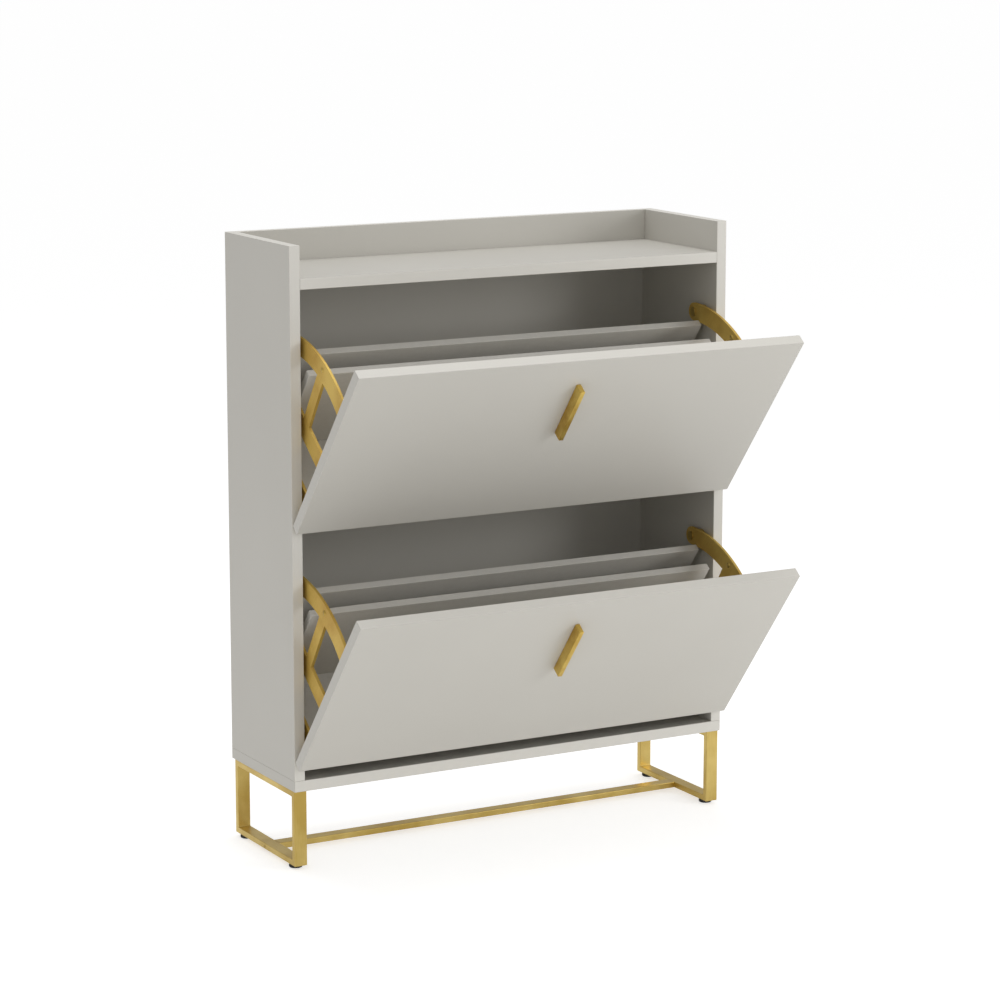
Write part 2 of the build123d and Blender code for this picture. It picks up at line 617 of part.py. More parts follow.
def build_bin(name, pivot_height):
    """Every piece of one tip-out bin, and the pins and bosses in the side panels that carry it."""
    handle_middle = door_height - HANDLE_DROP
    handle_screw_rises = [
        handle_middle - HANDLE_SCREW_SPACING / 2,
        handle_middle + HANDLE_SCREW_SPACING / 2,
    ]
    handle_seats = [tipped(pivot_height, 0, door_rear, rise) for rise in handle_screw_rises]
    handle_screw_length = DOOR_THICKNESS + HANDLE_SCREW_BITE
    angle_seat = door_rear + ANGLE_THICKNESS
    angle_screw_x = plate_inner - ANGLE_THICKNESS - ANGLE_LEG / 2
    angle_seats = [
        tipped(pivot_height, side * angle_screw_x, angle_seat, rise)
        for side in SIDES.values()
        for rise in angle_screw_rises
    ]
    angle_screw_length = ANGLE_THICKNESS + ANGLE_SCREW_BITE

    with BuildPart() as door:
        prism(pivot_height, -door_half, door_half, (door_front, 0), (door_rear, door_height))
        fillet(door.edges(), DOOR_SOFTENING)
        rods(handle_seats, forwards, HANDLE_SCREW_RADIUS, DOOR_THICKNESS, Mode.SUBTRACT)
        rods(angle_seats, forwards, SCREW_RADIUS, angle_screw_length, Mode.SUBTRACT)
    save(door, f"{name}_door")

    with BuildPart() as handle:
        prism(pivot_height, -HANDLE_WIDTH / 2, HANDLE_WIDTH / 2,
              (door_front - HANDLE_REACH, handle_middle - HANDLE_LENGTH / 2),
              (door_front, handle_middle + HANDLE_LENGTH / 2))
        fillet(handle.edges(), HANDLE_SOFTENING)
        rods(handle_seats, forwards, HANDLE_SCREW_RADIUS, handle_screw_length, Mode.SUBTRACT)
    save(handle, f"{name}_handle")
    save(pan_screws(handle_seats, forwards, SCREW_HEAD_RADIUS, SCREW_HEAD, HANDLE_SCREW_RADIUS,
                    handle_screw_length), f"{name}_handle_screws")

    for hand, side in SIDES.items():
        low_x = min(side * plate_inner, side * plate_outer)
        with BuildPart() as side_frame:
            extrude(frame_outline(side_view(pivot_height, low_x)).sketch, amount=PLATE)
            faces = side_frame.faces().filter_by(Axis.X)
            chamfer([edge for face in faces for edge in face.outer_wire().edges()], PLATE_SOFTENING)
        save(side_frame, f"{name}_side_frame_{hand}")

        leg_x = side * (plate_inner - ANGLE_THICKNESS)
        foot_x = leg_x - side * ANGLE_LEG
        with BuildPart() as door_angle:
            prism(pivot_height, min(leg_x, side * plate_inner), max(leg_x, side * plate_inner),
                  (door_rear, ANGLE_BASE_RISE), (door_rear + ANGLE_LEG, angle_top))
            prism(pivot_height, min(foot_x, side * plate_inner), max(foot_x, side * plate_inner),
                  (door_rear, ANGLE_BASE_RISE), (angle_seat, angle_top))
            bolt_mouths = [tipped(pivot_height, side * plate_inner, 0, up) for up in bolt_rises]
            rods(bolt_mouths, inwards(side), BOLT_RADIUS, ANGLE_THICKNESS, Mode.SUBTRACT)
            own_seats = [seat for seat in angle_seats if seat.X * side > 0]
            rods(own_seats, forwards, SCREW_RADIUS, ANGLE_THICKNESS, Mode.SUBTRACT)
        save(door_angle, f"{name}_door_angle_{hand}")

    save(pan_screws(angle_seats, forwards, SCREW_HEAD_RADIUS, SCREW_HEAD, SCREW_RADIUS,
                    angle_screw_length), f"{name}_angle_screws")

    with BuildPart() as frame_bolts:
        for side in SIDES.values():
            grip = PLATE + ANGLE_THICKNESS
            bolt_x = side * (plate_outer - grip)
            seats = [tipped(pivot_height, bolt_x, 0, up) for up in bolt_rises]
            outward = rightwards * side
            heads = [seat - outward * BOLT_HEAD for seat in seats]
            nuts = [seat + outward * grip for seat in seats]
            rods(heads, outward, BOLT_HEAD_RADIUS, BOLT_HEAD)
            rods(seats, outward, BOLT_RADIUS, grip)
            rods(nuts, outward, NUT_RADIUS, NUT)
            sockets(heads, outward, BOLT_HEAD_RADIUS * SOCKET_SHARE, BOLT_HEAD * SOCKET_SHARE)
    save(frame_bolts, f"{name}_frame_bolts")

    with BuildPart() as frame_rivets:
        for side in SIDES.values():
            outward = rightwards * side
            inner_seat = tipped(pivot_height, side * plate_inner, *strut_joint)
            outer_seat = tipped(pivot_height, side * plate_outer, *strut_joint)
            rods([inner_seat], inwards(side), RIVET_HEAD_RADIUS, RIVET_HEAD)
            rods([inner_seat], outward, RIVET_RADIUS, PLATE)
            rods([outer_seat], outward, RIVET_HEAD_RADIUS, RIVET_HEAD)
    save(frame_rivets, f"{name}_frame_rivets")

    save(rack_board(pivot_height, (door_rear, RACK_FLOOR_RISE), (rack_depth, rack_floor_top),
                    rack_screw_places[0:2]), f"{name}_rack_floor")
    save(rack_board(pivot_height, (rack_depth, RACK_FLOOR_RISE), (rack_back, RACK_HEIGHT),
                    rack_screw_places[2:4]), f"{name}_rack_rear_board")
    save(rack_board(pivot_height, (divider_front, rack_floor_top),
                    (divider_front + RACK_BOARD, RACK_HEIGHT), rack_screw_places[4:6]),
         f"{name}_rack_divider")

    with BuildPart() as rack_screws:
        for side in SIDES.values():
            seats = [tipped(pivot_height, side * plate_outer, *place)
                     for place in rack_screw_places]
            tops = [seat - inwards(side) * SCREW_HEAD for seat in seats]
            rods(tops, inwards(side), SCREW_HEAD_RADIUS, SCREW_HEAD)
            rods(seats, inwards(side), SCREW_RADIUS, RACK_SCREW_LENGTH)
            sockets(tops, inwards(side), SCREW_HEAD_RADIUS * SOCKET_SHARE,
                    SCREW_HEAD * SOCKET_SHARE)
    save(rack_screws, f"{name}_rack_screws")

    with BuildPart() as pivot_bushes:
        for side in SIDES.values():
            barrel = tipped(pivot_height, side * plate_inner, 0, 0)
            flange = tipped(pivot_height, side * plate_outer, 0, 0)
            outward = rightwards * side
            flange_length = WALL_GAP - RUNNING_GAP
            rods([barrel], outward, BUSH_RADIUS, PLATE)
            rods([flange], outward, BUSH_FLANGE_RADIUS, flange_length)
            rods([barrel], outward, PIN_RADIUS + PIN_CLEARANCE, PLATE + WALL_GAP, Mode.SUBTRACT)
    save(pivot_bushes, f"{name}_pivot_bushes")

    with BuildPart() as pivot_pins:
        for side in SIDES.values():
            shoulder = WALL_GAP + PLATE + HEAD_GAP
            start = pivot_point(side, pivot_height)
            head = start + inwards(side) * shoulder
            rods([start], inwards(side), PIN_RADIUS, shoulder)
            rods([start], rightwards * side, PIN_THREAD_RADIUS, PIN_THREAD)
            rods([head], inwards(side), PIN_HEAD_RADIUS, PIN_HEAD)
            face = head + inwards(side) * PIN_HEAD
            sockets([face], rightwards * side, PIN_RADIUS * SOCKET_SHARE, PIN_HEAD * SOCKET_SHARE)
    save(pivot_pins, f"{name}_pivot_pins")

    with BuildPart() as stop_bosses:
        for side in SIDES.values():
            start = boss_point(side, pivot_height)
            rods([start], inwards(side), BOSS_RADIUS, WALL_GAP - RUNNING_GAP)
            rods([start], rightwards * side, BOSS_STEM_RADIUS, BOSS_STEM)
    save(stop_bosses, f"{name}_stop_bosses")

    with BuildPart() as arm_studs:
        for side in SIDES.values():
            outward = rightwards * side
            inner_seat = tipped(pivot_height, side * plate_inner, *tip)
            outer_seat = tipped(pivot_height, side * plate_outer, *tip)
            rods([inner_seat], inwards(side), STUD_HEAD_RADIUS, STUD_HEAD)
            rods([inner_seat], outward, STUD_SHANK_RADIUS, PLATE)
            rods([outer_seat], outward, STUD_RADIUS, WALL_GAP - RUNNING_GAP)
    save(arm_studs, f"{name}_arm_studs")

    with BuildPart() as bumpers:
        seats = [
            tipped(pivot_height, side * (half_width - BOARD / 2), door_rear, rise)
            for side in SIDES.values()
            for rise in (BUMPER_INSET, door_height - BUMPER_INSET)
        ]
        rods(seats, backwards, BUMPER_RADIUS, DOOR_AIR_GAP - BUMPER_AIR)
    save(bumpers, f"{name}_door_bumpers")


build_bin("lower", lower_pivot)
build_bin("upper", upper_pivot)
print(f"door height {door_height:.1f}, tilt {tilt:.3f}, pivots {lower_pivot:.1f} and {upper_pivot:.1f}")
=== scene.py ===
"""Looks for a slim shoe cabinet with two tip-out bins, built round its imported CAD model.

The boards, doors, tubes and side frames are the CAD solids with procedural finishes.
The turned hardware (screws, pins, bosses, rivets, feet and buffers) and the pulls are new surfaces,
each worked out with numpy and placed where the CAD solid it stands for lies.
"""

import json
import logging
import math
from dataclasses import dataclass, field
from enum import Enum
from typing import Any, Callable, Sequence

import bmesh
import bpy
import numpy as np
from mathutils import Matrix, Vector


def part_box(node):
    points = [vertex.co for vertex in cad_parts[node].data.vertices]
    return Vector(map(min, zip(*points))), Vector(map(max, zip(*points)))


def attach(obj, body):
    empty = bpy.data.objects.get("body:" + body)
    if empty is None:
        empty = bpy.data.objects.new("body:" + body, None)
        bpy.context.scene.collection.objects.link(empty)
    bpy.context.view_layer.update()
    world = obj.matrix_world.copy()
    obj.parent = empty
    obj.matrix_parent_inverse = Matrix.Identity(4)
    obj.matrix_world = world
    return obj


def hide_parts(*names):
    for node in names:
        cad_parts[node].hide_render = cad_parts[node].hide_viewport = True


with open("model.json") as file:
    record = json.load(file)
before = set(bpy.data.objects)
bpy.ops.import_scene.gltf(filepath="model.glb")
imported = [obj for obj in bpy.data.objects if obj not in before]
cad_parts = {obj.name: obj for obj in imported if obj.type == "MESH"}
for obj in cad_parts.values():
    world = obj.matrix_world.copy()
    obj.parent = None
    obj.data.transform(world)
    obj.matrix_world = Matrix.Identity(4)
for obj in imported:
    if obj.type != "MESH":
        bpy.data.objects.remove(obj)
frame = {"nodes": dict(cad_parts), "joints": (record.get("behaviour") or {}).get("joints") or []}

LOG = logging.getLogger("shoe_cabinet")
MM = 0.001
ROOT_BODY = "carcass"
BINS = ("upper", "lower")
HANDS = ("left", "right")
WHITE = (1.0, 1.0, 1.0, 1.0)
# Two unit directions whose dot product is past this count as the same direction.
SQUARE_ON = 0.9
# A node that reaches past this on both sides of x = 0 has solids on both sides of the cabinet.
MIDDLE_ZONE = 50 * MM
# Points this near x = 0, in metres, count as on the right.
MIDDLE_SLACK = 1e-9
# Points of one turned solid lie within this many of its radii of each other, across its axis.
GROUP_WIDTH = 2.05
# Points closer than this, in metres, are one point, which closes the poles.
SAME_POINT = 1e-7
# Edges that turn by less than these angles are shaded smooth.
TURNED_CREASE = math.radians(38)
PULL_CREASE = math.radians(40)


# ---------------------------------------------------------------- colour and shader nodes
def linear(tone: str) -> tuple[float, float, float, float]:
    """Turn an sRGB hex colour into the linear values that shaders read.

    Args:
        tone: Colour as "#RRGGBB".

    Returns:
        Linear red, green, blue and a full alpha.
    """
    values = [int(tone[i : i + 2], 16) / 255 for i in (1, 3, 5)]
    flat = [v / 12.92 if v <= 0.04045 else ((v + 0.055) / 1.055) ** 2.4 for v in values]
    return (flat[0], flat[1], flat[2], 1.0)


def add_node(
    tree: bpy.types.NodeTree,
    kind: str,
    settings: dict[str | int, Any] | None = None,
    links: dict[str | int, bpy.types.NodeSocket] | None = None,
) -> bpy.types.Node:
    """Add one shader node with its settings and its incoming links.

    Args:
        tree: Node tree that gets the node.
        kind: Blender's type name of the node.
        settings: Values by property name, or by input name or number.
        links: Source sockets by input name or number.

    Returns:
        The new node.
    """
    node = tree.nodes.new(kind)
    for name, value in (settings or {}).items():
        if isinstance(name, str) and hasattr(node, name):
            setattr(node, name, value)
        else:
            node.inputs[name].default_value = value
    for name, source in (links or {}).items():
        tree.links.new(source, node.inputs[name])
    return node


def new_material(name: str) -> tuple[bpy.types.Material, bpy.types.NodeTree, bpy.types.NodeSocket]:
    """Start a material with an empty tree and its object coordinates.

    Args:
        name: Name of the real material and how it was made.

    Returns:
        The material, its node tree and the socket of object coordinates.
    """
    material = bpy.data.materials.new(name)
    material.use_nodes = True
    tree = material.node_tree
    tree.nodes.clear()
    place = add_node(tree, "ShaderNodeTexCoord")
    return material, tree, place.outputs["Object"]


def close_material(
    tree: bpy.types.NodeTree,
    settings: dict[str | int, Any],
    links: dict[str | int, bpy.types.NodeSocket],
) -> None:
    """Add the surface shader and the output that end a material.

    Args:
        tree: Node tree of the material.
        settings: Constant values of the Principled shader.
        links: Patterns that drive the Principled shader's inputs.
    """
    shader = add_node(tree, "ShaderNodeBsdfPrincipled", settings, links)
    add_node(tree, "ShaderNodeOutputMaterial", None, {"Surface": shader.outputs["BSDF"]})


class Grain(Enum):
    """Which way the fine scratches of a brushed metal run, as stretch factors along X, Y and Z."""

    ALONG_X = (0.02, 1.0, 1.0)
    ALONG_Y = (1.0, 0.02, 1.0)
    ALONG_Z = (1.0, 1.0, 0.02)


class EdgeFacing(Enum):
    """Which faces get the edge tone: those turned away from an axis, or those that face along it."""

    ROUND_THE_AXIS = "LESS_THAN"
    ALONG_THE_AXIS = "GREATER_THAN"


@dataclass(frozen=True)
class SprayedLacquer:
    """Satin polyurethane lacquer sprayed on fibreboard: even, faintly clouded, with a fine orange peel and
    its own tone on the edge faces.
    """

    name: str
    tone: str
    shade: str
    roughness: float = 0.45
    peel_mm: float = 2.2
    peel_depth_mm: float = 0.012
    cloud_mm: float = 330.0
    smear_mm: float = 90.0
    smoother: float = 0.05
    duller: float = 0.07
    # Tone of the edge faces: a painted highlight on the lacquered boards.
    painted_highlight_and_raw_edge_tone: str = "#DEDBD3"
    axis: tuple[float, float, float] = (0.0, 1.0, 0.0)
    edge_facing: EdgeFacing = EdgeFacing.ROUND_THE_AXIS

    def build(self) -> bpy.types.Material:
        """Make the node material.

        Returns:
            The finished material.
        """
        material, tree, place = new_material(self.name)
        # Film thickness drifts over a hand's width or more, so the tone clouds by a percent or two.
        cloud = add_node(tree, "ShaderNodeTexNoise",
                         {"Scale": 1 / (self.cloud_mm * MM), "Detail": 2.0, "Roughness": 0.5},
                         {"Vector": place})
        face = add_node(tree, "ShaderNodeMix",
                        {"data_type": "RGBA", 6: linear(self.tone), 7: linear(self.shade)},
                        {0: cloud.outputs["Fac"]})
        # Painted highlight: the edge faces get a paler tone that stands in for the light the board edges
        # catch. On the hardboard back the same mask gives the raw brown edge its colour.
        lie = add_node(tree, "ShaderNodeTexCoord")
        facing = add_node(tree, "ShaderNodeVectorMath", {"operation": "DOT_PRODUCT", 1: self.axis},
                          {0: lie.outputs["Normal"]})
        turned = add_node(tree, "ShaderNodeMath", {"operation": "ABSOLUTE"},
                          {0: facing.outputs["Value"]})
        edge = add_node(tree, "ShaderNodeMath", {"operation": self.edge_facing.value, 1: SQUARE_ON},
                        {0: turned.outputs["Value"]})
        tint = add_node(tree, "ShaderNodeMix", {"data_type": "RGBA", 7: linear(self.painted_highlight_and_raw_edge_tone)},
                        {0: edge.outputs["Value"], 6: face.outputs[2]})
        # Handling leaves patches that are a little smoother or duller than the sprayed film.
        smear = add_node(tree, "ShaderNodeTexNoise",
                         {"Scale": 1 / (self.smear_mm * MM), "Detail": 4.0, "Roughness": 0.6},
                         {"Vector": place})
        gloss = add_node(tree, "ShaderNodeMapRange",
                         {"To Min": self.roughness - self.smoother,
                          "To Max": self.roughness + self.duller},
                         {"Value": smear.outputs["Fac"]})
        # Orange peel is near 1 mm wide; it is drawn about twice as coarse so that it shows at all.
        peel = add_node(tree, "ShaderNodeTexNoise",
                        {"Scale": 1 / (self.peel_mm * MM), "Detail": 1.0}, {"Vector": place})
        skin = add_node(tree, "ShaderNodeBump",
                        {"Strength": 0.35, "Distance": self.peel_depth_mm * MM},
                        {"Height": peel.outputs["Fac"]})
        close_material(tree, {"IOR": 1.5},
                       {"Base Color": tint.outputs[2], "Roughness": gloss.outputs["Result"],
                        "Normal": skin.outputs["Normal"]})
        return material


@dataclass(frozen=True)
class MelaminePaper:
    """Melamine paper pressed on particle board: a dry, slightly pebbled face with a pale fleck."""

    name: str
    tone: str
    fleck: str
    roughness: float = 0.52
    pebble_mm: float = 1.6
    pebble_depth_mm: float = 0.02
    fleck_mm: float = 7.0

    def build(self) -> bpy.types.Material:
        """Make the node material.

        Returns:
            The finished material.
        """
        material, tree, place = new_material(self.name)
        # The printed paper has a soft fleck a few millimetres wide.
        paper = add_node(tree, "ShaderNodeTexNoise",
                         {"Scale": 1 / (self.fleck_mm * MM), "Detail": 3.0}, {"Vector": place})
        tint = add_node(tree, "ShaderNodeMix",
                        {"data_type": "RGBA", 6: linear(self.tone), 7: linear(self.fleck)},
                        {0: paper.outputs["Fac"]})
        # The press plate leaves pebbles under 1 mm; they are drawn at 1.6 mm to show.
        pebble = add_node(tree, "ShaderNodeTexVoronoi",
                          {"Scale": 1 / (self.pebble_mm * MM)}, {"Vector": place})
        skin = add_node(tree, "ShaderNodeBump",
                        {"Strength": 0.25, "Distance": self.pebble_depth_mm * MM},
                        {"Height": pebble.outputs["Distance"]})
        close_material(tree, {"IOR": 1.5, "Roughness": self.roughness},
                       {"Base Color": tint.outputs[2], "Normal": skin.outputs["Normal"]})
        return material


@dataclass(frozen=True)
class BrushedPlate:
    """Brass plating over brushed steel: long hairline scratches spread each highlight along the bar.

    Bare plating is fully metallic. A clear lacquer over it scatters part of the light, so a lacquered
    piece is less metallic and keeps its colour where it faces the dark inside of the cabinet.
    """

    name: str
    tone: str
    deep: str
    grain: Grain
    roughness: float = 0.36
    polished: float = 0.06
    scuffed: float = 0.10
    hairline_mm: float = 0.7
    hairline_depth_mm: float = 0.01
    hairline_share: float = 0.35
    lean: float = 0.0
    bath_mm: float = 70.0
    mottle: float = 0.16
    metallic: float = 1.0
    uprights: tuple[float, float] | None = None

    def _scratches(
        self, tree: bpy.types.NodeTree, place: bpy.types.NodeSocket, grain: Grain
    ) -> bpy.types.NodeSocket:
        """Draw hairlines that run one way.

        Args:
            tree: Node tree of the material.
            place: Socket of object coordinates.
            grain: Which way the hairlines run.

        Returns:
            Socket with the scratch pattern, from 0 to 1.
        """
        # Real hairlines are near 0.1 mm apart; they are drawn 0.7 mm apart so that they show.
        turned = add_node(tree, "ShaderNodeMapping",
                          {"Rotation": (self.lean, 0.0, 0.0)}, {"Vector": place})
        stretched = add_node(tree, "ShaderNodeMapping",
                             {"Scale": grain.value}, {"Vector": turned.outputs["Vector"]})
        lines = add_node(tree, "ShaderNodeTexNoise",
                         {"Scale": 1 / (self.hairline_mm * MM), "Detail": 3.0, "Roughness": 0.7},
                         {"Vector": stretched.outputs["Vector"]})
        return lines.outputs["Fac"]

    def build(self) -> bpy.types.Material:
        """Make the node material.

        Returns:
            The finished material.
        """
        material, tree, place = new_material(self.name)
        lines = self._scratches(tree, place, self.grain)
        if self.uprights is not None:
            # A loop of bar is brushed along each run, so the uprights have their hairlines turned.
            centre, half = self.uprights
            axes = add_node(tree, "ShaderNodeSeparateXYZ", None, {"Vector": place})
            away = add_node(tree, "ShaderNodeMath", {"operation": "SUBTRACT", 1: centre},
                            {0: axes.outputs["Y"]})
            reach = add_node(tree, "ShaderNodeMath", {"operation": "ABSOLUTE"},
                             {0: away.outputs["Value"]})
            upright = add_node(tree, "ShaderNodeMath", {"operation": "GREATER_THAN", 1: half},
                               {0: reach.outputs["Value"]})
            standing = self._scratches(tree, place, Grain.ALONG_Z)
            both = add_node(tree, "ShaderNodeMix", {"data_type": "FLOAT"},
                            {0: upright.outputs["Value"], 2: lines, 3: standing})
            lines = both.outputs[0]
        # Plating is a shade deeper in patches where the bath ran thin.
        bath = add_node(tree, "ShaderNodeTexNoise",
                        {"Scale": 1 / (self.bath_mm * MM), "Detail": 3.0}, {"Vector": place})
        patch = add_node(tree, "ShaderNodeMath",
                         {"operation": "MULTIPLY_ADD", 1: self.hairline_share},
                         {0: lines, 2: bath.outputs["Fac"]})
        # Each pattern averages one half, so the mix of the two averages half of both shares.
        middle = (1 + self.hairline_share) / 2
        blend = add_node(tree, "ShaderNodeMapRange",
                         {"From Min": middle - self.mottle, "From Max": middle + self.mottle},
                         {"Value": patch.outputs["Value"]})
        tint = add_node(tree, "ShaderNodeMix",
                        {"data_type": "RGBA", 6: linear(self.tone), 7: linear(self.deep)},
                        {0: blend.outputs["Result"]})
        gloss = add_node(tree, "ShaderNodeMapRange",
                         {"To Min": self.roughness - self.polished,
                          "To Max": self.roughness + self.scuffed},
                         {"Value": lines})
        skin = add_node(tree, "ShaderNodeBump",
                        {"Strength": 0.25, "Distance": self.hairline_depth_mm * MM},
                        {"Height": lines})
        close_material(tree, {"Metallic": self.metallic},
                       {"Base Color": tint.outputs[2], "Roughness": gloss.outputs["Result"],
                        "Normal": skin.outputs["Normal"]})
        return material


@dataclass(frozen=True)
class ZincFinish:
    """Zinc, electroplated or die cast: cool grey metal whose crystals mottle the reflection."""

    name: str
    tone: str
    dark: str
    roughness: float
    crystal_mm: float
    smoother: float = 0.05
    duller: float = 0.1

    def build(self) -> bpy.types.Material:
        """Make the node material.

        Returns:
            The finished material.
        """
        material, tree, place = new_material(self.name)
        # Each crystal is a little paler at its middle than where it meets the next one.
        crystal = add_node(tree, "ShaderNodeTexVoronoi",
                           {"Scale": 1 / (self.crystal_mm * MM)}, {"Vector": place})
        tint = add_node(tree, "ShaderNodeMix",
                        {"data_type": "RGBA", 6: linear(self.tone), 7: linear(self.dark)},
                        {0: crystal.outputs["Distance"]})
        gloss = add_node(tree, "ShaderNodeMapRange",
                         {"To Min": self.roughness - self.smoother,
                          "To Max": self.roughness + self.duller},
                         {"Value": crystal.outputs["Distance"]})
        close_material(tree, {"Metallic": 1.0},
                       {"Base Color": tint.outputs[2], "Roughness": gloss.outputs["Result"]})
        return material


@dataclass(frozen=True)
class MouldedPolymer:
    """Injection-moulded nylon or cast silicone: a spark-eroded matt skin, or a soft milky one."""

    name: str
    tone: str
    worn: str
    roughness: float
    grit_mm: float = 0.8
    grit_depth_mm: float = 0.02
    milkiness: float = 0.0
    scatter_mm: float = 2.0

    def build(self) -> bpy.types.Material:
        """Make the node material.

        Returns:
            The finished material.
        """
        material, tree, place = new_material(self.name)
        # The mould's grit is near 0.1 mm and is drawn coarser so that the skin reads as matt.
        grit = add_node(tree, "ShaderNodeTexNoise",
                        {"Scale": 1 / (self.grit_mm * MM), "Detail": 2.0}, {"Vector": place})
        tint = add_node(tree, "ShaderNodeMix",
                        {"data_type": "RGBA", 6: linear(self.tone), 7: linear(self.worn)},
                        {0: grit.outputs["Fac"]})
        skin = add_node(tree, "ShaderNodeBump",
                        {"Strength": 0.4, "Distance": self.grit_depth_mm * MM},
                        {"Height": grit.outputs["Fac"]})
        close_material(tree, {"IOR": 1.5, "Roughness": self.roughness,
                              "Subsurface Weight": self.milkiness,
                              "Subsurface Scale": self.scatter_mm * MM},
                       {"Base Color": tint.outputs[2], "Normal": skin.outputs["Normal"]})
        return material


@dataclass(frozen=True)
class TurnedBeech:
    """Beech turned into dowels: straight pale grain with short brown ray flecks."""

    name: str
    tone: str
    ray: str
    roughness: float = 0.62
    fleck_mm: float = 1.2
    fleck_stretch: float = 0.15

    def build(self) -> bpy.types.Material:
        """Make the node material.

        Returns:
            The finished material.
        """
        material, tree, place = new_material(self.name)
        # Rays and grain are drawn out along the dowel, which lies along X.
        along = add_node(tree, "ShaderNodeMapping", {"Scale": (self.fleck_stretch, 1.0, 1.0)},
                         {"Vector": place})
        rays = add_node(tree, "ShaderNodeTexNoise",
                        {"Scale": 1 / (self.fleck_mm * MM), "Detail": 4.0},
                        {"Vector": along.outputs["Vector"]})
        tint = add_node(tree, "ShaderNodeMix",
                        {"data_type": "RGBA", 6: linear(self.tone), 7: linear(self.ray)},
                        {0: rays.outputs["Fac"]})
        close_material(tree, {"IOR": 1.5, "Roughness": self.roughness},
                       {"Base Color": tint.outputs[2]})
        return material


class Finishes:
    """Every finish of the cabinet, built once and shared by the pieces that have it."""

    def __init__(self, lean: float) -> None:
        """Build the materials.

        Args:
            lean: How far the open bins lean forward, in radians.
        """
        low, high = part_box("leg_frame_left")
        tube_depth = 10 * MM
        loop = ((low.y + high.y) / 2, (high.y - low.y) / 2 - tube_depth)
        gold, deep = "#D9C077", "#BFA256"
        tone, shade = "#CBC8C0", "#C4C1B9"
        top_of_door = (0.0, -math.sin(lean), math.cos(lean))
        # The paler edge faces of these boards are a painted highlight; on the hardboard back the edge tone
        # is the raw brown board.
        self.upright = SprayedLacquer("sprayed_lacquer_side_board", tone, shade,
                                      axis=(1.0, 0.0, 0.0)).build()
        self.flat = SprayedLacquer("sprayed_lacquer_shelf_board", tone, shade,
                                   edge_facing=EdgeFacing.ALONG_THE_AXIS).build()
        self.gallery = SprayedLacquer("sprayed_lacquer_gallery_board", tone, shade).build()
        self.door = SprayedLacquer("sprayed_lacquer_door_board", tone, shade, roughness=0.42,
                                   axis=top_of_door, edge_facing=EdgeFacing.ALONG_THE_AXIS).build()
        self.back = SprayedLacquer("lacquered_hardboard_back", tone, shade, roughness=0.6,
                                   peel_mm=3.0, painted_highlight_and_raw_edge_tone="#8C7355").build()
        self.rack = MelaminePaper("melamine_faced_rack_board", "#D4D1CA", "#CBC8C0").build()
        self.leg = BrushedPlate("brushed_brass_plated_tube_loop", gold, deep, Grain.ALONG_Y,
                                uprights=loop).build()
        self.bar = BrushedPlate("brushed_brass_plated_tube", gold, deep, Grain.ALONG_X).build()
        self.plate = BrushedPlate("brushed_brass_plated_side_frame", "#DCBC61", "#C29B43",
                                  Grain.ALONG_Z, lean=-lean, roughness=0.5, metallic=0.45).build()
        self.pull = BrushedPlate("brushed_brass_plated_pull", "#E3C76E", "#BC9642", Grain.ALONG_Z,
                                 lean=-lean, roughness=0.4, bath_mm=30.0, mottle=0.22).build()
        self.brass = BrushedPlate("brass_plated_turned_hardware", "#CDB163", "#B1944A",
                                  Grain.ALONG_X, roughness=0.3).build()
        self.zinc = ZincFinish("bright_zinc_plated_steel", "#C9CBCE", "#A9ACB0", roughness=0.32,
                               crystal_mm=1.5).build()
        self.casting = ZincFinish("die_cast_zinc", "#A4A6A8", "#85878A", roughness=0.5,
                                  crystal_mm=0.8).build()
        self.foot = MouldedPolymer("moulded_black_nylon", "#17171A", "#232326",
                                   roughness=0.48).build()
        self.bush = MouldedPolymer("moulded_natural_nylon", "#E0DCCF", "#D4CFC0",
                                   roughness=0.4).build()
        self.buffer = MouldedPolymer("cast_clear_silicone", "#CFCFCB", "#C4C4C0",
                                     roughness=0.3, milkiness=0.3).build()
        self.beech = TurnedBeech("turned_beech_dowel", "#C9A678", "#A9834F").build()


# ---------------------------------------------------------------- placing and meshing
@dataclass(frozen=True)
class Seat:
    """Where one turned part sits: its outer end, and the unit direction that it runs in."""

    origin: np.ndarray
    axis: np.ndarray


def node_points(node: str) -> np.ndarray:
    """Read a CAD node's vertices.

    Args:
        node: Name of the node.

    Returns:
        Its vertices at rest as rows of x, y, z in metres.
    """
    mesh = frame["nodes"][node].data
    points = np.empty(len(mesh.vertices) * 3, np.float32)
    mesh.vertices.foreach_get("co", points)
    return points.reshape(-1, 3).astype(float)


def find_seats(node: str, direction: Callable[[float], np.ndarray], reach: float) -> list[Seat]:
    """Find each turned solid of a node from its vertices.

    The points of one solid lie within a given reach of its axis. Points are taken in groups: the
    first one left opens a group with all that lie within twice the reach across the axis, and a
    little more, and the middle of the group's box across the axis is the solid's centre line.
    A node with solids on both sides is read one side at a time. A solid that straddles x = 0 is
    then read as two halves and gets two seats, a fault that the middle gallery screw shows.

    Args:
        node: Name of the CAD node.
        direction: Unit direction of a solid's axis, from the sign of its x.
        reach: Largest radius of the solid, in metres.

    Returns:
        One seat for each solid, at the end that the axis starts from.
    """
    points = node_points(node)
    on_right = points[:, 0] > -MIDDLE_SLACK
    sides = {-1.0: points[~on_right], 1.0: points[on_right]} if node_spans(points) else {-1.0: points}
    seats = []
    for sign, left in sides.items():
        axis = direction(sign)
        while len(left):
            along = left @ axis
            across = left - np.outer(along, axis)
            near = np.linalg.norm(across - across[0], axis=1) < GROUP_WIDTH * reach
            group, depth = across[near], along[near]
            centre = (group.min(0) + group.max(0)) / 2
            centre = centre - (centre @ axis) * axis
            seats.append(Seat(centre + depth.min() * axis, axis))
            left = left[~near]
    return seats


def node_spans(points: np.ndarray) -> bool:
    """Say whether a node has solids on both sides of the cabinet."""
    return bool(points[:, 0].min() < -MIDDLE_ZONE and points[:, 0].max() > MIDDLE_ZONE)


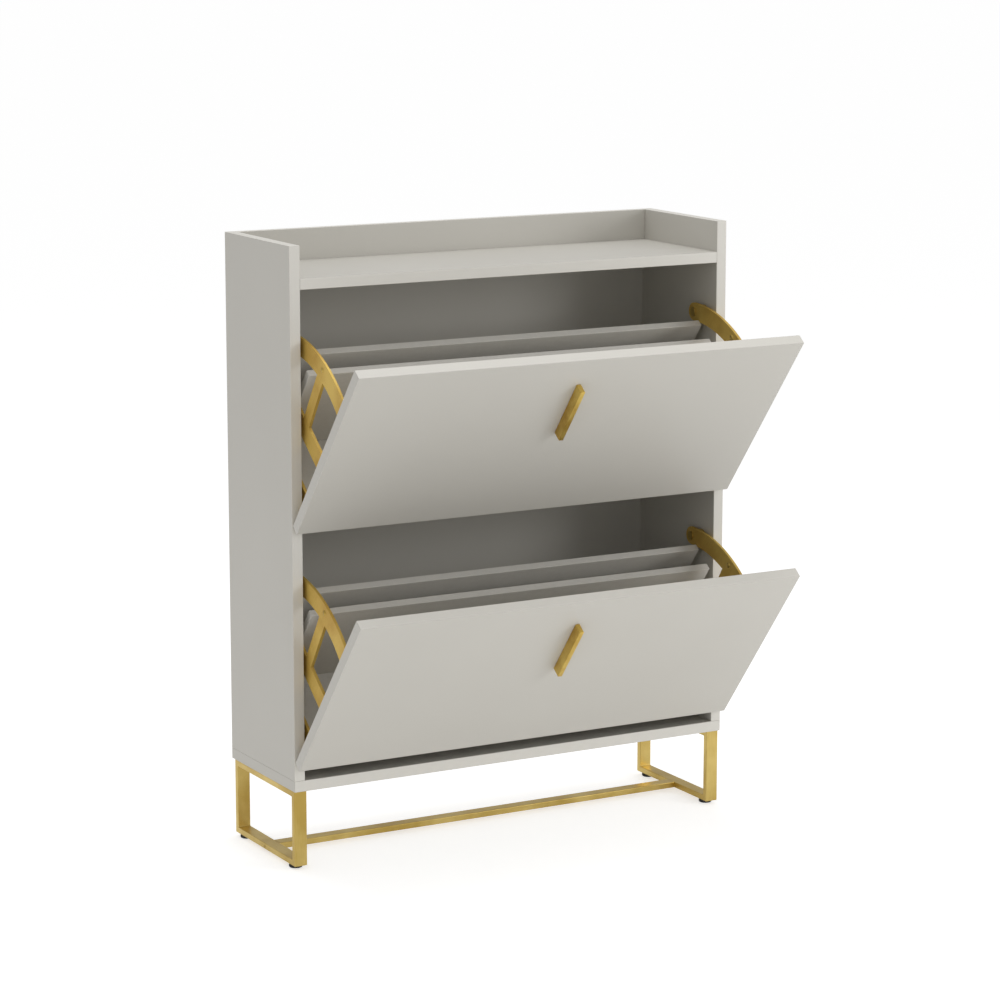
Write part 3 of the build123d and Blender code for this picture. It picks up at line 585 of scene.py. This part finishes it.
def mesh_object(
    name: str, points: np.ndarray, faces: np.ndarray, smooth_angle: float
) -> bpy.types.Object:
    """Put a computed surface into a mesh object, close its poles and turn its faces outward.

    Args:
        name: Name of the object.
        points: Vertices as rows of x, y, z in metres.
        faces: Quads as rows of four vertex numbers.
        smooth_angle: Edges flatter than this, in radians, are shaded smooth.

    Returns:
        The new object, at the origin.
    """
    mesh = bpy.data.meshes.new(name)
    mesh.from_pydata(points.tolist(), [], faces.tolist())
    made = bmesh.new()
    made.from_mesh(mesh)
    bmesh.ops.remove_doubles(made, verts=made.verts, dist=SAME_POINT)
    bmesh.ops.recalc_face_normals(made, faces=made.faces)
    for edge in made.edges:
        edge.smooth = len(edge.link_faces) == 2 and edge.calc_face_angle(math.pi) < smooth_angle
    for face in made.faces:
        face.smooth = True
    made.to_mesh(mesh)
    made.free()
    piece = bpy.data.objects.new(name, mesh)
    bpy.context.scene.collection.objects.link(piece)
    return piece


def grid_faces(rows: int, columns: int, copies: int, closed: bool) -> np.ndarray:
    """Number the quads of a grid that wraps round in its columns.

    Args:
        rows: Rows of vertices in one copy.
        columns: Vertices round each row.
        copies: How many grids follow each other in the vertex list.
        closed: Whether the last row joins the first.

    Returns:
        Quads as rows of four vertex numbers.
    """
    bands = rows if closed else rows - 1
    row, column = np.meshgrid(np.arange(bands), np.arange(columns), indexing="ij")
    after, beside = (row + 1) % rows, (column + 1) % columns
    quads = np.stack([row * columns + column, row * columns + beside,
                      after * columns + beside, after * columns + column], -1).reshape(-1, 4)
    return (quads[None] + (np.arange(copies) * rows * columns)[:, None, None]).reshape(-1, 4)


class Rim(Enum):
    """Outline of a turned part at one height."""

    ROUND = 0
    HEXAGON = 6


@dataclass(frozen=True)
class Turning:
    """A turned part as a profile carried round its axis.

    Each point of the profile is (radius, height, rim) in millimetres. At angle a the radius of a
    hexagon row is its corner radius times cos(30) / cos((a mod 60) - 30), and a round row keeps its
    radius. Flutes take flute_depth * cos(flutes * a) squared off the rows near the widest one.
    The surface is axis * height + radius * (cos a, sin a) across the axis.
    """

    profile: Sequence[tuple[float, float, Rim]]
    columns: int = 36
    flutes: int = 0
    flute_depth: float = 0.0
    fluted_share: float = 0.9
    ring: bool = False

    def widest(self) -> float:
        """Largest radius of the profile, in metres."""
        return max(point[0] for point in self.profile) * MM

    def surface(self, seats: Sequence[Seat]) -> tuple[np.ndarray, np.ndarray]:
        """Work out the surface of one turned part at each seat.

        Args:
            seats: Where the parts sit.

        Returns:
            Vertices and quads of all of them together.
        """
        radius = np.array([p[0] for p in self.profile])[:, None] * MM
        height = np.array([p[1] for p in self.profile])[:, None] * MM
        hexagon = np.array([p[2] is Rim.HEXAGON for p in self.profile])[:, None]
        angle = np.linspace(0, 2 * math.pi, self.columns, endpoint=False)[None, :]
        sixth = math.pi / 3
        corner = math.cos(sixth / 2) / np.cos(np.mod(angle, sixth) - sixth / 2)
        radius = radius * np.where(hexagon, corner, 1.0)
        if self.flutes:
            outer = radius > self.fluted_share * self.widest()
            radius = radius - outer * self.flute_depth * MM * np.cos(self.flutes * angle) ** 2
        blocks = []
        for seat in seats:
            upright = abs(seat.axis[2]) >= SQUARE_ON
            helper = np.array([0.0, 1.0, 0.0] if upright else [0.0, 0.0, 1.0])
            side = np.cross(seat.axis, helper)
            side = side / np.linalg.norm(side)
            other = np.cross(seat.axis, side)
            blocks.append(seat.origin + height[..., None] * seat.axis
                          + (radius * np.cos(angle))[..., None] * side
                          + (radius * np.sin(angle))[..., None] * other)
        points = np.concatenate([block.reshape(-1, 3) for block in blocks])
        return points, grid_faces(len(self.profile), self.columns, len(seats), self.ring)


# Floor and rim of a pressed socket, as shares of its corner radius, and the lip's height in mm.
SOCKET_FLOOR = 0.95
FLAT_RIM, PAN_RIM = 1.08, 1.06
FLAT_LIP_MM, PAN_LIP_MM = 0.06, 0.08


def flat_head(head: float, depth: float, shank: float, length: float, socket: float) -> Turning:
    """Countersunk screw with a hexagon socket, measured from its flush face.

    Args:
        head: Radius of the head.
        depth: Height of the head's cone.
        shank: Radius of the shank.
        length: Whole length.
        socket: Corner radius of the socket.

    Returns:
        The screw's profile, in millimetres.
    """
    bottom = depth / 2
    face, edge = head * 0.97, head * 0.99
    return Turning([(0, bottom, Rim.ROUND), (socket * SOCKET_FLOOR, bottom, Rim.HEXAGON),
                    (socket, FLAT_LIP_MM, Rim.HEXAGON), (socket * FLAT_RIM, 0.0, Rim.ROUND),
                    (face, 0.0, Rim.ROUND), (edge, FLAT_LIP_MM, Rim.ROUND),
                    (shank, depth, Rim.ROUND), (shank, length - shank, Rim.ROUND),
                    (0, length, Rim.ROUND)])


def pan_head(head: float, depth: float, shank: float, length: float, socket: float) -> Turning:
    """Domed screw with a hexagon socket, measured from the top of its head.

    The dome's radius is head * sin(a) at a height of rise * (1 - cos(a)), from the socket's rim out.

    Args:
        head: Radius of the head.
        depth: Height of the head.
        shank: Radius of the shank.
        length: Whole length with the head.
        socket: Corner radius of the socket.

    Returns:
        The screw's profile, in millimetres.
    """
    rise, first_angle, soften = depth * 0.62, 0.62, 0.1
    dome = [(head * math.sin(a), rise * (1 - math.cos(a)), Rim.ROUND)
            for a in np.linspace(first_angle, math.pi / 2, 6)]
    top, bottom = dome[0][1], depth * 0.7
    return Turning([(0, bottom, Rim.ROUND), (socket * SOCKET_FLOOR, bottom, Rim.HEXAGON),
                    (socket, top + PAN_LIP_MM, Rim.HEXAGON), (socket * PAN_RIM, top, Rim.ROUND),
                    *dome, (head, depth - soften, Rim.ROUND), (head - soften, depth, Rim.ROUND),
                    (shank, depth, Rim.ROUND), (shank, length - shank, Rim.ROUND),
                    (0, length, Rim.ROUND)])


def bevelled(steps: Sequence[tuple[float, float, float]], soften: float) -> Turning:
    """Stack of plain round steps with softened rims.

    Args:
        steps: (radius, start, end) of each step along the axis, in millimetres.
        soften: Width of the bevel on each step's free rims.

    Returns:
        The profile of the whole stack.
    """
    profile: list[tuple[float, float, Rim]] = [(0.0, steps[0][1], Rim.ROUND)]
    for radius, start, end in steps:
        profile += [(radius - soften, start, Rim.ROUND), (radius, start + soften, Rim.ROUND),
                    (radius, end - soften, Rim.ROUND), (radius - soften, end, Rim.ROUND)]
    profile.append((0.0, steps[-1][2], Rim.ROUND))
    return Turning(profile, columns=48)


@dataclass
class SubAssembly:
    """A group of pieces that ride on one CAD body."""

    finishes: Finishes
    body: str
    pieces: list[str] = field(default_factory=list)

    def dress(self, node: str, material: bpy.types.Material) -> None:
        """Give a carried-over CAD node its finish.

        Args:
            node: Name of the CAD node.
            material: Finish that covers it.
        """
        mesh = frame["nodes"][node].data
        mesh.materials.clear()
        mesh.materials.append(material)
        self.pieces.append(node)

    def turn(
        self,
        node: str,
        name: str,
        shape: Turning,
        direction: Callable[[float], np.ndarray],
        material: bpy.types.Material,
        slot: str,
        body: str | None = None,
    ) -> None:
        """Stand turned parts in for a CAD node's solids.

        Args:
            node: CAD node that the parts stand for.
            name: Name of the new piece.
            shape: Profile of one part.
            direction: Unit direction of a part's axis, from the sign of its x.
            material: Finish of the parts.
            slot: Material slot of the record; not used.
            body: CAD body that carries them, if not this sub-assembly's own.
        """
        seats = find_seats(node, direction, shape.widest())
        points, faces = shape.surface(seats)
        piece = mesh_object(name, points, faces, TURNED_CREASE)
        piece.data.materials.append(material)
        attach(piece, body or self.body)
        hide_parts(node)
        self.pieces.append(name)

    def report(self, title: str) -> None:
        """Log the pieces of this sub-assembly."""
        LOG.info("%s: %d pieces: %s", title, len(self.pieces), ", ".join(self.pieces))


def straight(x: float, y: float, z: float) -> Callable[[float], np.ndarray]:
    """Direction that is the same on both sides of the cabinet."""
    return lambda sign: np.array([x, y, z], float)


def outward(sign: float) -> np.ndarray:
    """Direction from the middle of the cabinet towards a side."""
    return np.array([sign, 0.0, 0.0])


def inward(sign: float) -> np.ndarray:
    """Direction from a side towards the middle of the cabinet."""
    return np.array([-sign, 0.0, 0.0])


# ---------------------------------------------------------------- carcass
@dataclass
class Carcass(SubAssembly):
    """Side panels, shelf, gallery, bottom and back, with the fixings that hold them."""

    board_screw: Turning = flat_head(4.5, 3.0, 2.5, 48.0, 2.25)
    gallery_screw: Turning = flat_head(3.5, 2.0, 1.75, 40.0, 1.75)
    back_screw: Turning = flat_head(3.0, 2.0, 1.5, 18.0, 1.5)

    def build(self) -> None:
        """Dress the boards and build the screws."""
        for hand in HANDS:
            self.dress(f"side_panel_{hand}", self.finishes.upright)
        fin, zinc = self.finishes, self.finishes.zinc
        for node, material in (("bottom_board", fin.flat), ("top_shelf", fin.flat),
                               ("gallery_back", fin.gallery), ("back_panel", fin.back),
                               ("dowels", fin.beech), ("cam_locks", fin.casting),
                               ("cam_bolts", zinc)):
            self.dress(node, material)
        self.turn("carcass_screws", "carcass_screw_set", self.board_screw, straight(0, 0, 1), zinc,
                  "zinc_steel")
        self.turn("gallery_screws", "gallery_screw_set", self.gallery_screw, straight(0, -1, 0),
                  zinc, "zinc_steel")
        self.turn("back_panel_screws", "back_panel_screw_set", self.back_screw,
                  straight(0, -1, 0), zinc, "zinc_steel")
        self.report("carcass")


# ---------------------------------------------------------------- base
@dataclass
class Base(SubAssembly):
    """Two tube loops and their stretcher, on four nylon glides."""

    leg_screw: Turning = pan_head(3.5, 2.0, 2.0, 25.0, 1.75)
    stretcher_screw: Turning = flat_head(4.5, 1.5, 2.5, 37.0, 1.25)
    glide: Turning = Turning(
        [(0, 0.0, Rim.ROUND), (8.6, 0.0, Rim.ROUND), (9.6, 0.25, Rim.ROUND),
         (10.5, 0.9, Rim.ROUND), (10.95, 1.8, Rim.ROUND), (11.0, 2.6, Rim.ROUND),
         (11.0, 4.4, Rim.ROUND), (10.7, 4.9, Rim.ROUND), (9.6, 5.1, Rim.ROUND),
         (9.3, 5.5, Rim.ROUND), (9.3, 6.0, Rim.ROUND), (5.0, 6.0, Rim.ROUND),
         (5.0, 11.2, Rim.ROUND), (4.3, 12.0, Rim.ROUND), (0, 12.0, Rim.ROUND)],
        columns=96, flutes=24, flute_depth=0.35)

    def build(self) -> None:
        """Dress the tubes and build the feet and screws."""
        for hand in HANDS:
            self.dress(f"leg_frame_{hand}", self.finishes.leg)
            for place in ("front", "back"):
                self.turn(f"glide_{place}_{hand}", f"foot_{place}_{hand}", self.glide,
                          straight(0, 0, 1), self.finishes.foot, "black_nylon")
        self.dress("stretcher", self.finishes.bar)
        self.turn("leg_screws", "leg_screw_set", self.leg_screw, straight(0, 0, 1),
                  self.finishes.brass, "gold_fastener")
        self.turn("stretcher_screws", "stretcher_screw_set", self.stretcher_screw, inward,
                  self.finishes.brass, "gold_fastener")
        self.report("base")


# ---------------------------------------------------------------- bins
@dataclass
class TipOutBin(SubAssembly):
    """One tip-out bin: its door and pull, its side frames and rack, and the hardware it swings on."""

    name: str = "upper"
    lean: float = 0.0
    pull_edge: float = 0.8
    pan_small: Turning = pan_head(3.5, 2.0, 1.75, 22.0, 1.75)
    pan_angle: Turning = pan_head(3.5, 2.0, 1.75, 15.0, 1.75)
    pan_pull: Turning = pan_head(3.5, 2.0, 2.0, 28.0, 1.75)
    bolt: Turning = Turning(
        [(0, 1.3, Rim.ROUND), (2.1, 1.3, Rim.HEXAGON), (2.25, 0.1, Rim.HEXAGON),
         (2.5, 0.0, Rim.ROUND), (3.4, 0.15, Rim.ROUND), (4.1, 0.7, Rim.ROUND),
         (4.5, 1.5, Rim.ROUND), (4.5, 2.2, Rim.ROUND), (2.0, 2.2, Rim.ROUND),
         (2.0, 9.2, Rim.ROUND), (3.3, 9.2, Rim.ROUND), (3.8, 9.5, Rim.HEXAGON),
         (3.8, 11.3, Rim.HEXAGON), (3.4, 11.6, Rim.ROUND), (2.0, 11.6, Rim.ROUND),
         (0, 11.6, Rim.ROUND)])
    rivet: Turning = Turning(
        [(0, 0.0, Rim.ROUND), (1.8, 0.12, Rim.ROUND), (3.2, 0.55, Rim.ROUND),
         (4.2, 1.2, Rim.ROUND), (4.5, 1.8, Rim.ROUND), (2.5, 1.8, Rim.ROUND),
         (2.5, 6.8, Rim.ROUND), (4.5, 6.8, Rim.ROUND), (4.2, 7.4, Rim.ROUND),
         (3.2, 8.05, Rim.ROUND), (1.8, 8.48, Rim.ROUND), (0, 8.6, Rim.ROUND)], columns=48)
    stud: Turning = bevelled([(7.5, 0.0, 2.0), (3.5, 2.0, 7.0), (6.5, 7.0, 12.5)], 0.4)
    boss: Turning = bevelled([(11.0, 0.0, 5.5), (3.0, 5.5, 16.5)], 0.7)
    pin: Turning = Turning(
        [(0, 1.5, Rim.ROUND), (2.0, 1.5, Rim.HEXAGON), (2.1, 0.1, Rim.HEXAGON),
         (2.3, 0.0, Rim.ROUND), (7.2, 0.0, Rim.ROUND), (7.8, 0.3, Rim.ROUND),
         (8.0, 0.8, Rim.ROUND), (8.0, 2.6, Rim.ROUND), (7.6, 3.0, Rim.ROUND),
         (4.0, 3.0, Rim.ROUND), (4.0, 14.3, Rim.ROUND), (2.5, 14.3, Rim.ROUND),
         (2.5, 25.5, Rim.ROUND), (2.0, 26.3, Rim.ROUND), (0, 26.3, Rim.ROUND)], columns=48)
    bush: Turning = Turning(
        [(4.05, 0.0, Rim.ROUND), (5.7, 0.0, Rim.ROUND), (6.0, 0.3, Rim.ROUND),
         (6.0, 5.0, Rim.ROUND), (8.6, 5.0, Rim.ROUND), (9.0, 5.4, Rim.ROUND),
         (9.0, 10.1, Rim.ROUND), (8.6, 10.5, Rim.ROUND), (4.05, 10.5, Rim.ROUND)],
        columns=48, ring=True)
    buffer: Turning = Turning(
        [(0, 2.7, Rim.ROUND), (1.6, 2.66, Rim.ROUND), (2.8, 2.3, Rim.ROUND),
         (3.6, 1.6, Rim.ROUND), (3.95, 0.7, Rim.ROUND), (4.0, 0.0, Rim.ROUND),
         (0, 0.0, Rim.ROUND)])

    def build(self) -> None:
        """Dress the CAD pieces of the bin and build its pull and hardware."""
        fin, name = self.finishes, self.name
        backwards = np.array([0.0, math.cos(self.lean), math.sin(self.lean)])
        forwards = straight(*(-backwards))
        self.dress(f"{name}_door", fin.door)
        for hand in HANDS:
            self.dress(f"{name}_side_frame_{hand}", fin.plate)
            self.dress(f"{name}_door_angle_{hand}", fin.plate)
        for board in ("rack_floor", "rack_rear_board", "rack_divider"):
            self.dress(f"{name}_{board}", fin.rack)
        self.build_pull(backwards)
        self.turn(f"{name}_handle_screws", f"{name}_pull_screw_set", self.pan_pull, forwards,
                  fin.zinc, "zinc_steel")
        self.turn(f"{name}_angle_screws", f"{name}_angle_screw_set", self.pan_angle, forwards,
                  fin.zinc, "zinc_steel")
        self.turn(f"{name}_rack_screws", f"{name}_rack_screw_set", self.pan_small, inward,
                  fin.zinc, "zinc_steel")
        self.turn(f"{name}_frame_bolts", f"{name}_frame_bolt_set", self.bolt, outward,
                  fin.brass, "gold_fastener")
        self.turn(f"{name}_frame_rivets", f"{name}_frame_rivet_set", self.rivet, outward,
                  fin.brass, "gold_fastener")
        self.turn(f"{name}_arm_studs", f"{name}_arm_stud_set", self.stud, outward, fin.brass,
                  "satin_gold")
        self.turn(f"{name}_stop_bosses", f"{name}_stop_boss_set", self.boss, outward, fin.brass,
                  "satin_gold", ROOT_BODY)
        self.turn(f"{name}_pivot_pins", f"{name}_pivot_pin_set", self.pin, outward, fin.zinc,
                  "zinc_steel", ROOT_BODY)
        self.turn(f"{name}_pivot_bushes", f"{name}_pivot_bush_set", self.bush, outward, fin.bush,
                  "natural_nylon")
        self.turn(f"{name}_door_bumpers", f"{name}_door_buffer_set", self.buffer,
                  straight(*backwards), fin.buffer, "bumper_rubber")
        self.report(f"{name} bin")

    def build_pull(self, backwards: np.ndarray) -> None:
        """Build the bar pull as a rounded section carried along the bar.

        The section is a rectangle whose corners are quarter rounds of the edge radius. Towards each
        end the section shrinks by edge * (1 - sin t) while it rises by edge * (1 - cos t), so the
        ends are softened too, and a last row that shrinks to a point closes each end face.

        Args:
            backwards: Unit direction from the door's face to its back.
        """
        node = f"{self.name}_handle"
        points = node_points(node)
        across = np.array([1.0, 0.0, 0.0])
        up = np.cross(across, backwards)
        frame_axes = np.stack([across, backwards, up])
        local = points @ frame_axes.T
        low, high = local.min(0), local.max(0)
        half, centre = (high - low) / 2, (high + low) / 2
        edge = self.pull_edge * MM
        steps = 7
        quarter = np.linspace(0, math.pi / 2, steps)
        turns = np.concatenate([quarter + k * math.pi / 2 for k in range(4)])
        corner_x = np.repeat([1, -1, -1, 1], steps) * (half[0] - edge)
        corner_y = np.repeat([1, 1, -1, -1], steps) * (half[1] - edge)
        ring = np.stack([corner_x + edge * np.cos(turns), corner_y + edge * np.sin(turns)], -1)
        shrink = edge * (1 - np.sin(quarter))
        rise = -half[2] + edge * (1 - np.cos(quarter))
        inset = np.concatenate([[0.0], shrink, shrink[::-1], [0.0]])
        level = np.concatenate([[-half[2]], rise, -rise[::-1], [half[2]]])
        factor = 1 - inset[:, None, None] / half[None, None, :2]
        factor[[0, -1]] = 0.0
        section = ring[None] * factor
        block = np.concatenate(
            [section, np.broadcast_to(level[:, None, None], (*section.shape[:2], 1))], -1)
        world = (block.reshape(-1, 3) + centre) @ frame_axes
        faces = grid_faces(len(level), len(ring), 1, False)
        piece = mesh_object(f"{self.name}_pull", world, faces, PULL_CREASE)
        piece.data.materials.append(self.finishes.pull)
        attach(piece, self.body)
        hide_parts(node)
        self.pieces.append(piece.name)


# ---------------------------------------------------------------- studio
@dataclass(frozen=True)
class Softbox:
    """One square area light that faces the middle of the cabinet."""

    name: str
    place: tuple[float, float, float]
    size: float
    power: float
    aim: tuple[float, float, float] = (0.0, 0.0, 0.5)

    def build(self) -> None:
        """Hang the light."""
        data = bpy.data.lights.new(self.name, "AREA")
        data.shape = "SQUARE"
        data.size = self.size
        data.energy = self.power
        lamp = bpy.data.objects.new(self.name, data)
        lamp.location = self.place
        ahead = Vector(self.aim) - Vector(self.place)
        lamp.rotation_euler = ahead.to_track_quat("-Z", "Y").to_euler()
        bpy.context.scene.collection.objects.link(lamp)


@dataclass
class Studio:
    """Pale floor, soft lights and the camera, with the camera's angles in degrees."""

    lens_mm: float = 116.9244
    yaw: float = 29.039
    pitch: float = 10.262
    roll: float = -0.045
    position: tuple[float, float, float] = (-2.5310, -4.5073, 1.5512)
    frame_shift: float = 0.03
    sensor_mm: float = 36.0
    floor_half: float = 60.0
    floor_drop_mm: float = 0.3
    paper_roughness: float = 0.9
    world_strength: float = 0.56
    floor_glow: float = 0.23
    seen_glow: float = 0.60
    seen_albedo: float = 0.70
    lights: tuple[Softbox, ...] = (
        Softbox("key_softbox", (2.6, -3.0, 1.5), size=1.5, power=32.0),
        Softbox("overhead_softbox", (0.1, 0.35, 3.5), size=2.0, power=30.0),
    )

    def build(self) -> None:
        """Set up the whole studio."""
        self.build_floor()
        for light in self.lights:
            light.build()
        self.build_world()
        self.build_camera()
        view = bpy.context.scene.view_settings
        view.view_transform = "Standard"
        view.look = "None"

    def build_floor(self) -> None:
        """Lay a flat floor whose corners are four computed points."""
        side = np.array([-1.0, 1.0]) * self.floor_half
        x, y = np.meshgrid(side, side)
        points = np.stack([x.ravel(), y.ravel(), np.full(4, -self.floor_drop_mm * MM)], -1)
        floor = mesh_object("studio_floor", points, np.array([[0, 1, 3, 2]]), TURNED_CREASE)
        material, tree, place = new_material("matt_white_paper_sweep")
        # Paper has a faint fibre cloud that keeps the floor from looking like a flat fill.
        fibre = add_node(tree, "ShaderNodeTexNoise", {"Scale": 6.0, "Detail": 3.0}, {"Vector": place})
        tint = add_node(tree, "ShaderNodeMix",
                        {"data_type": "RGBA", 6: linear("#F4F4F4"), 7: linear("#F8F8F8")},
                        {0: fibre.outputs["Fac"]})
        paper = add_node(tree, "ShaderNodeBsdfPrincipled",
                         {"Roughness": self.paper_roughness, "Specular IOR Level": 0.0,
                          "Emission Color": WHITE, "Emission Strength": self.floor_glow},
                         {"Base Color": tint.outputs[2]})
        # Seen directly, the paper is burnt out to white and keeps only a trace of the shadows.
        grey = (self.seen_albedo, self.seen_albedo, self.seen_albedo, 1.0)
        burnt = add_node(tree, "ShaderNodeBsdfPrincipled",
                         {"Base Color": grey, "Roughness": self.paper_roughness,
                          "Specular IOR Level": 0.0, "Emission Color": WHITE,
                          "Emission Strength": self.seen_glow})
        path = add_node(tree, "ShaderNodeLightPath")
        mixed = add_node(tree, "ShaderNodeMixShader", None,
                         {0: path.outputs["Is Camera Ray"], 1: paper.outputs["BSDF"],
                          2: burnt.outputs["BSDF"]})
        add_node(tree, "ShaderNodeOutputMaterial", None, {"Surface": mixed.outputs["Shader"]})
        floor.data.materials.append(material)

    def build_world(self) -> None:
        """Fill the room with even white light, and show plain white beyond the floor."""
        world = bpy.data.worlds.new("studio_world")
        bpy.context.scene.world = world
        world.use_nodes = True
        tree = world.node_tree
        tree.nodes.clear()
        dim = add_node(tree, "ShaderNodeBackground",
                       {"Color": WHITE, "Strength": self.world_strength})
        bright = add_node(tree, "ShaderNodeBackground", {"Color": WHITE, "Strength": 1.0})
        path = add_node(tree, "ShaderNodeLightPath")
        mixed = add_node(tree, "ShaderNodeMixShader", None,
                         {0: path.outputs["Is Camera Ray"], 1: dim.outputs["Background"],
                          2: bright.outputs["Background"]})
        add_node(tree, "ShaderNodeOutputWorld", None, {"Surface": mixed.outputs["Shader"]})

    def build_camera(self) -> None:
        """Place the camera from its heading: yaw to the right of +Y, then pitch down, then roll."""
        data = bpy.data.cameras.new("studio_camera")
        data.sensor_width = self.sensor_mm
        data.lens = self.lens_mm
        data.shift_y = -self.frame_shift
        data.clip_start, data.clip_end = 0.1, 300.0
        camera = bpy.data.objects.new("studio_camera", data)
        yaw, pitch, roll = (math.radians(v) for v in (self.yaw, self.pitch, self.roll))
        ahead = Vector((math.sin(yaw) * math.cos(pitch), math.cos(yaw) * math.cos(pitch),
                        -math.sin(pitch)))
        right = Vector((math.cos(yaw), -math.sin(yaw), 0.0))
        above = right.cross(ahead)
        turn = Matrix((right, above, -ahead)).transposed() @ Matrix.Rotation(-roll, 3, "Z")
        camera.matrix_world = Matrix.Translation(self.position) @ turn.to_4x4()
        bpy.context.scene.collection.objects.link(camera)
        bpy.context.scene.camera = camera


def main() -> None:
    """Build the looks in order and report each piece."""
    logging.basicConfig(level=logging.INFO, format="%(name)s %(message)s")
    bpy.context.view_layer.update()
    lean = math.radians(frame["joints"][0]["range_deg"][1])
    finishes = Finishes(lean)
    Carcass(finishes, ROOT_BODY).build()
    Base(finishes, ROOT_BODY).build()
    for name in BINS:
        TipOutBin(finishes, f"{name}_bin", name=name, lean=lean).build()
    Studio().build()


if __name__ == "__main__":
    main()
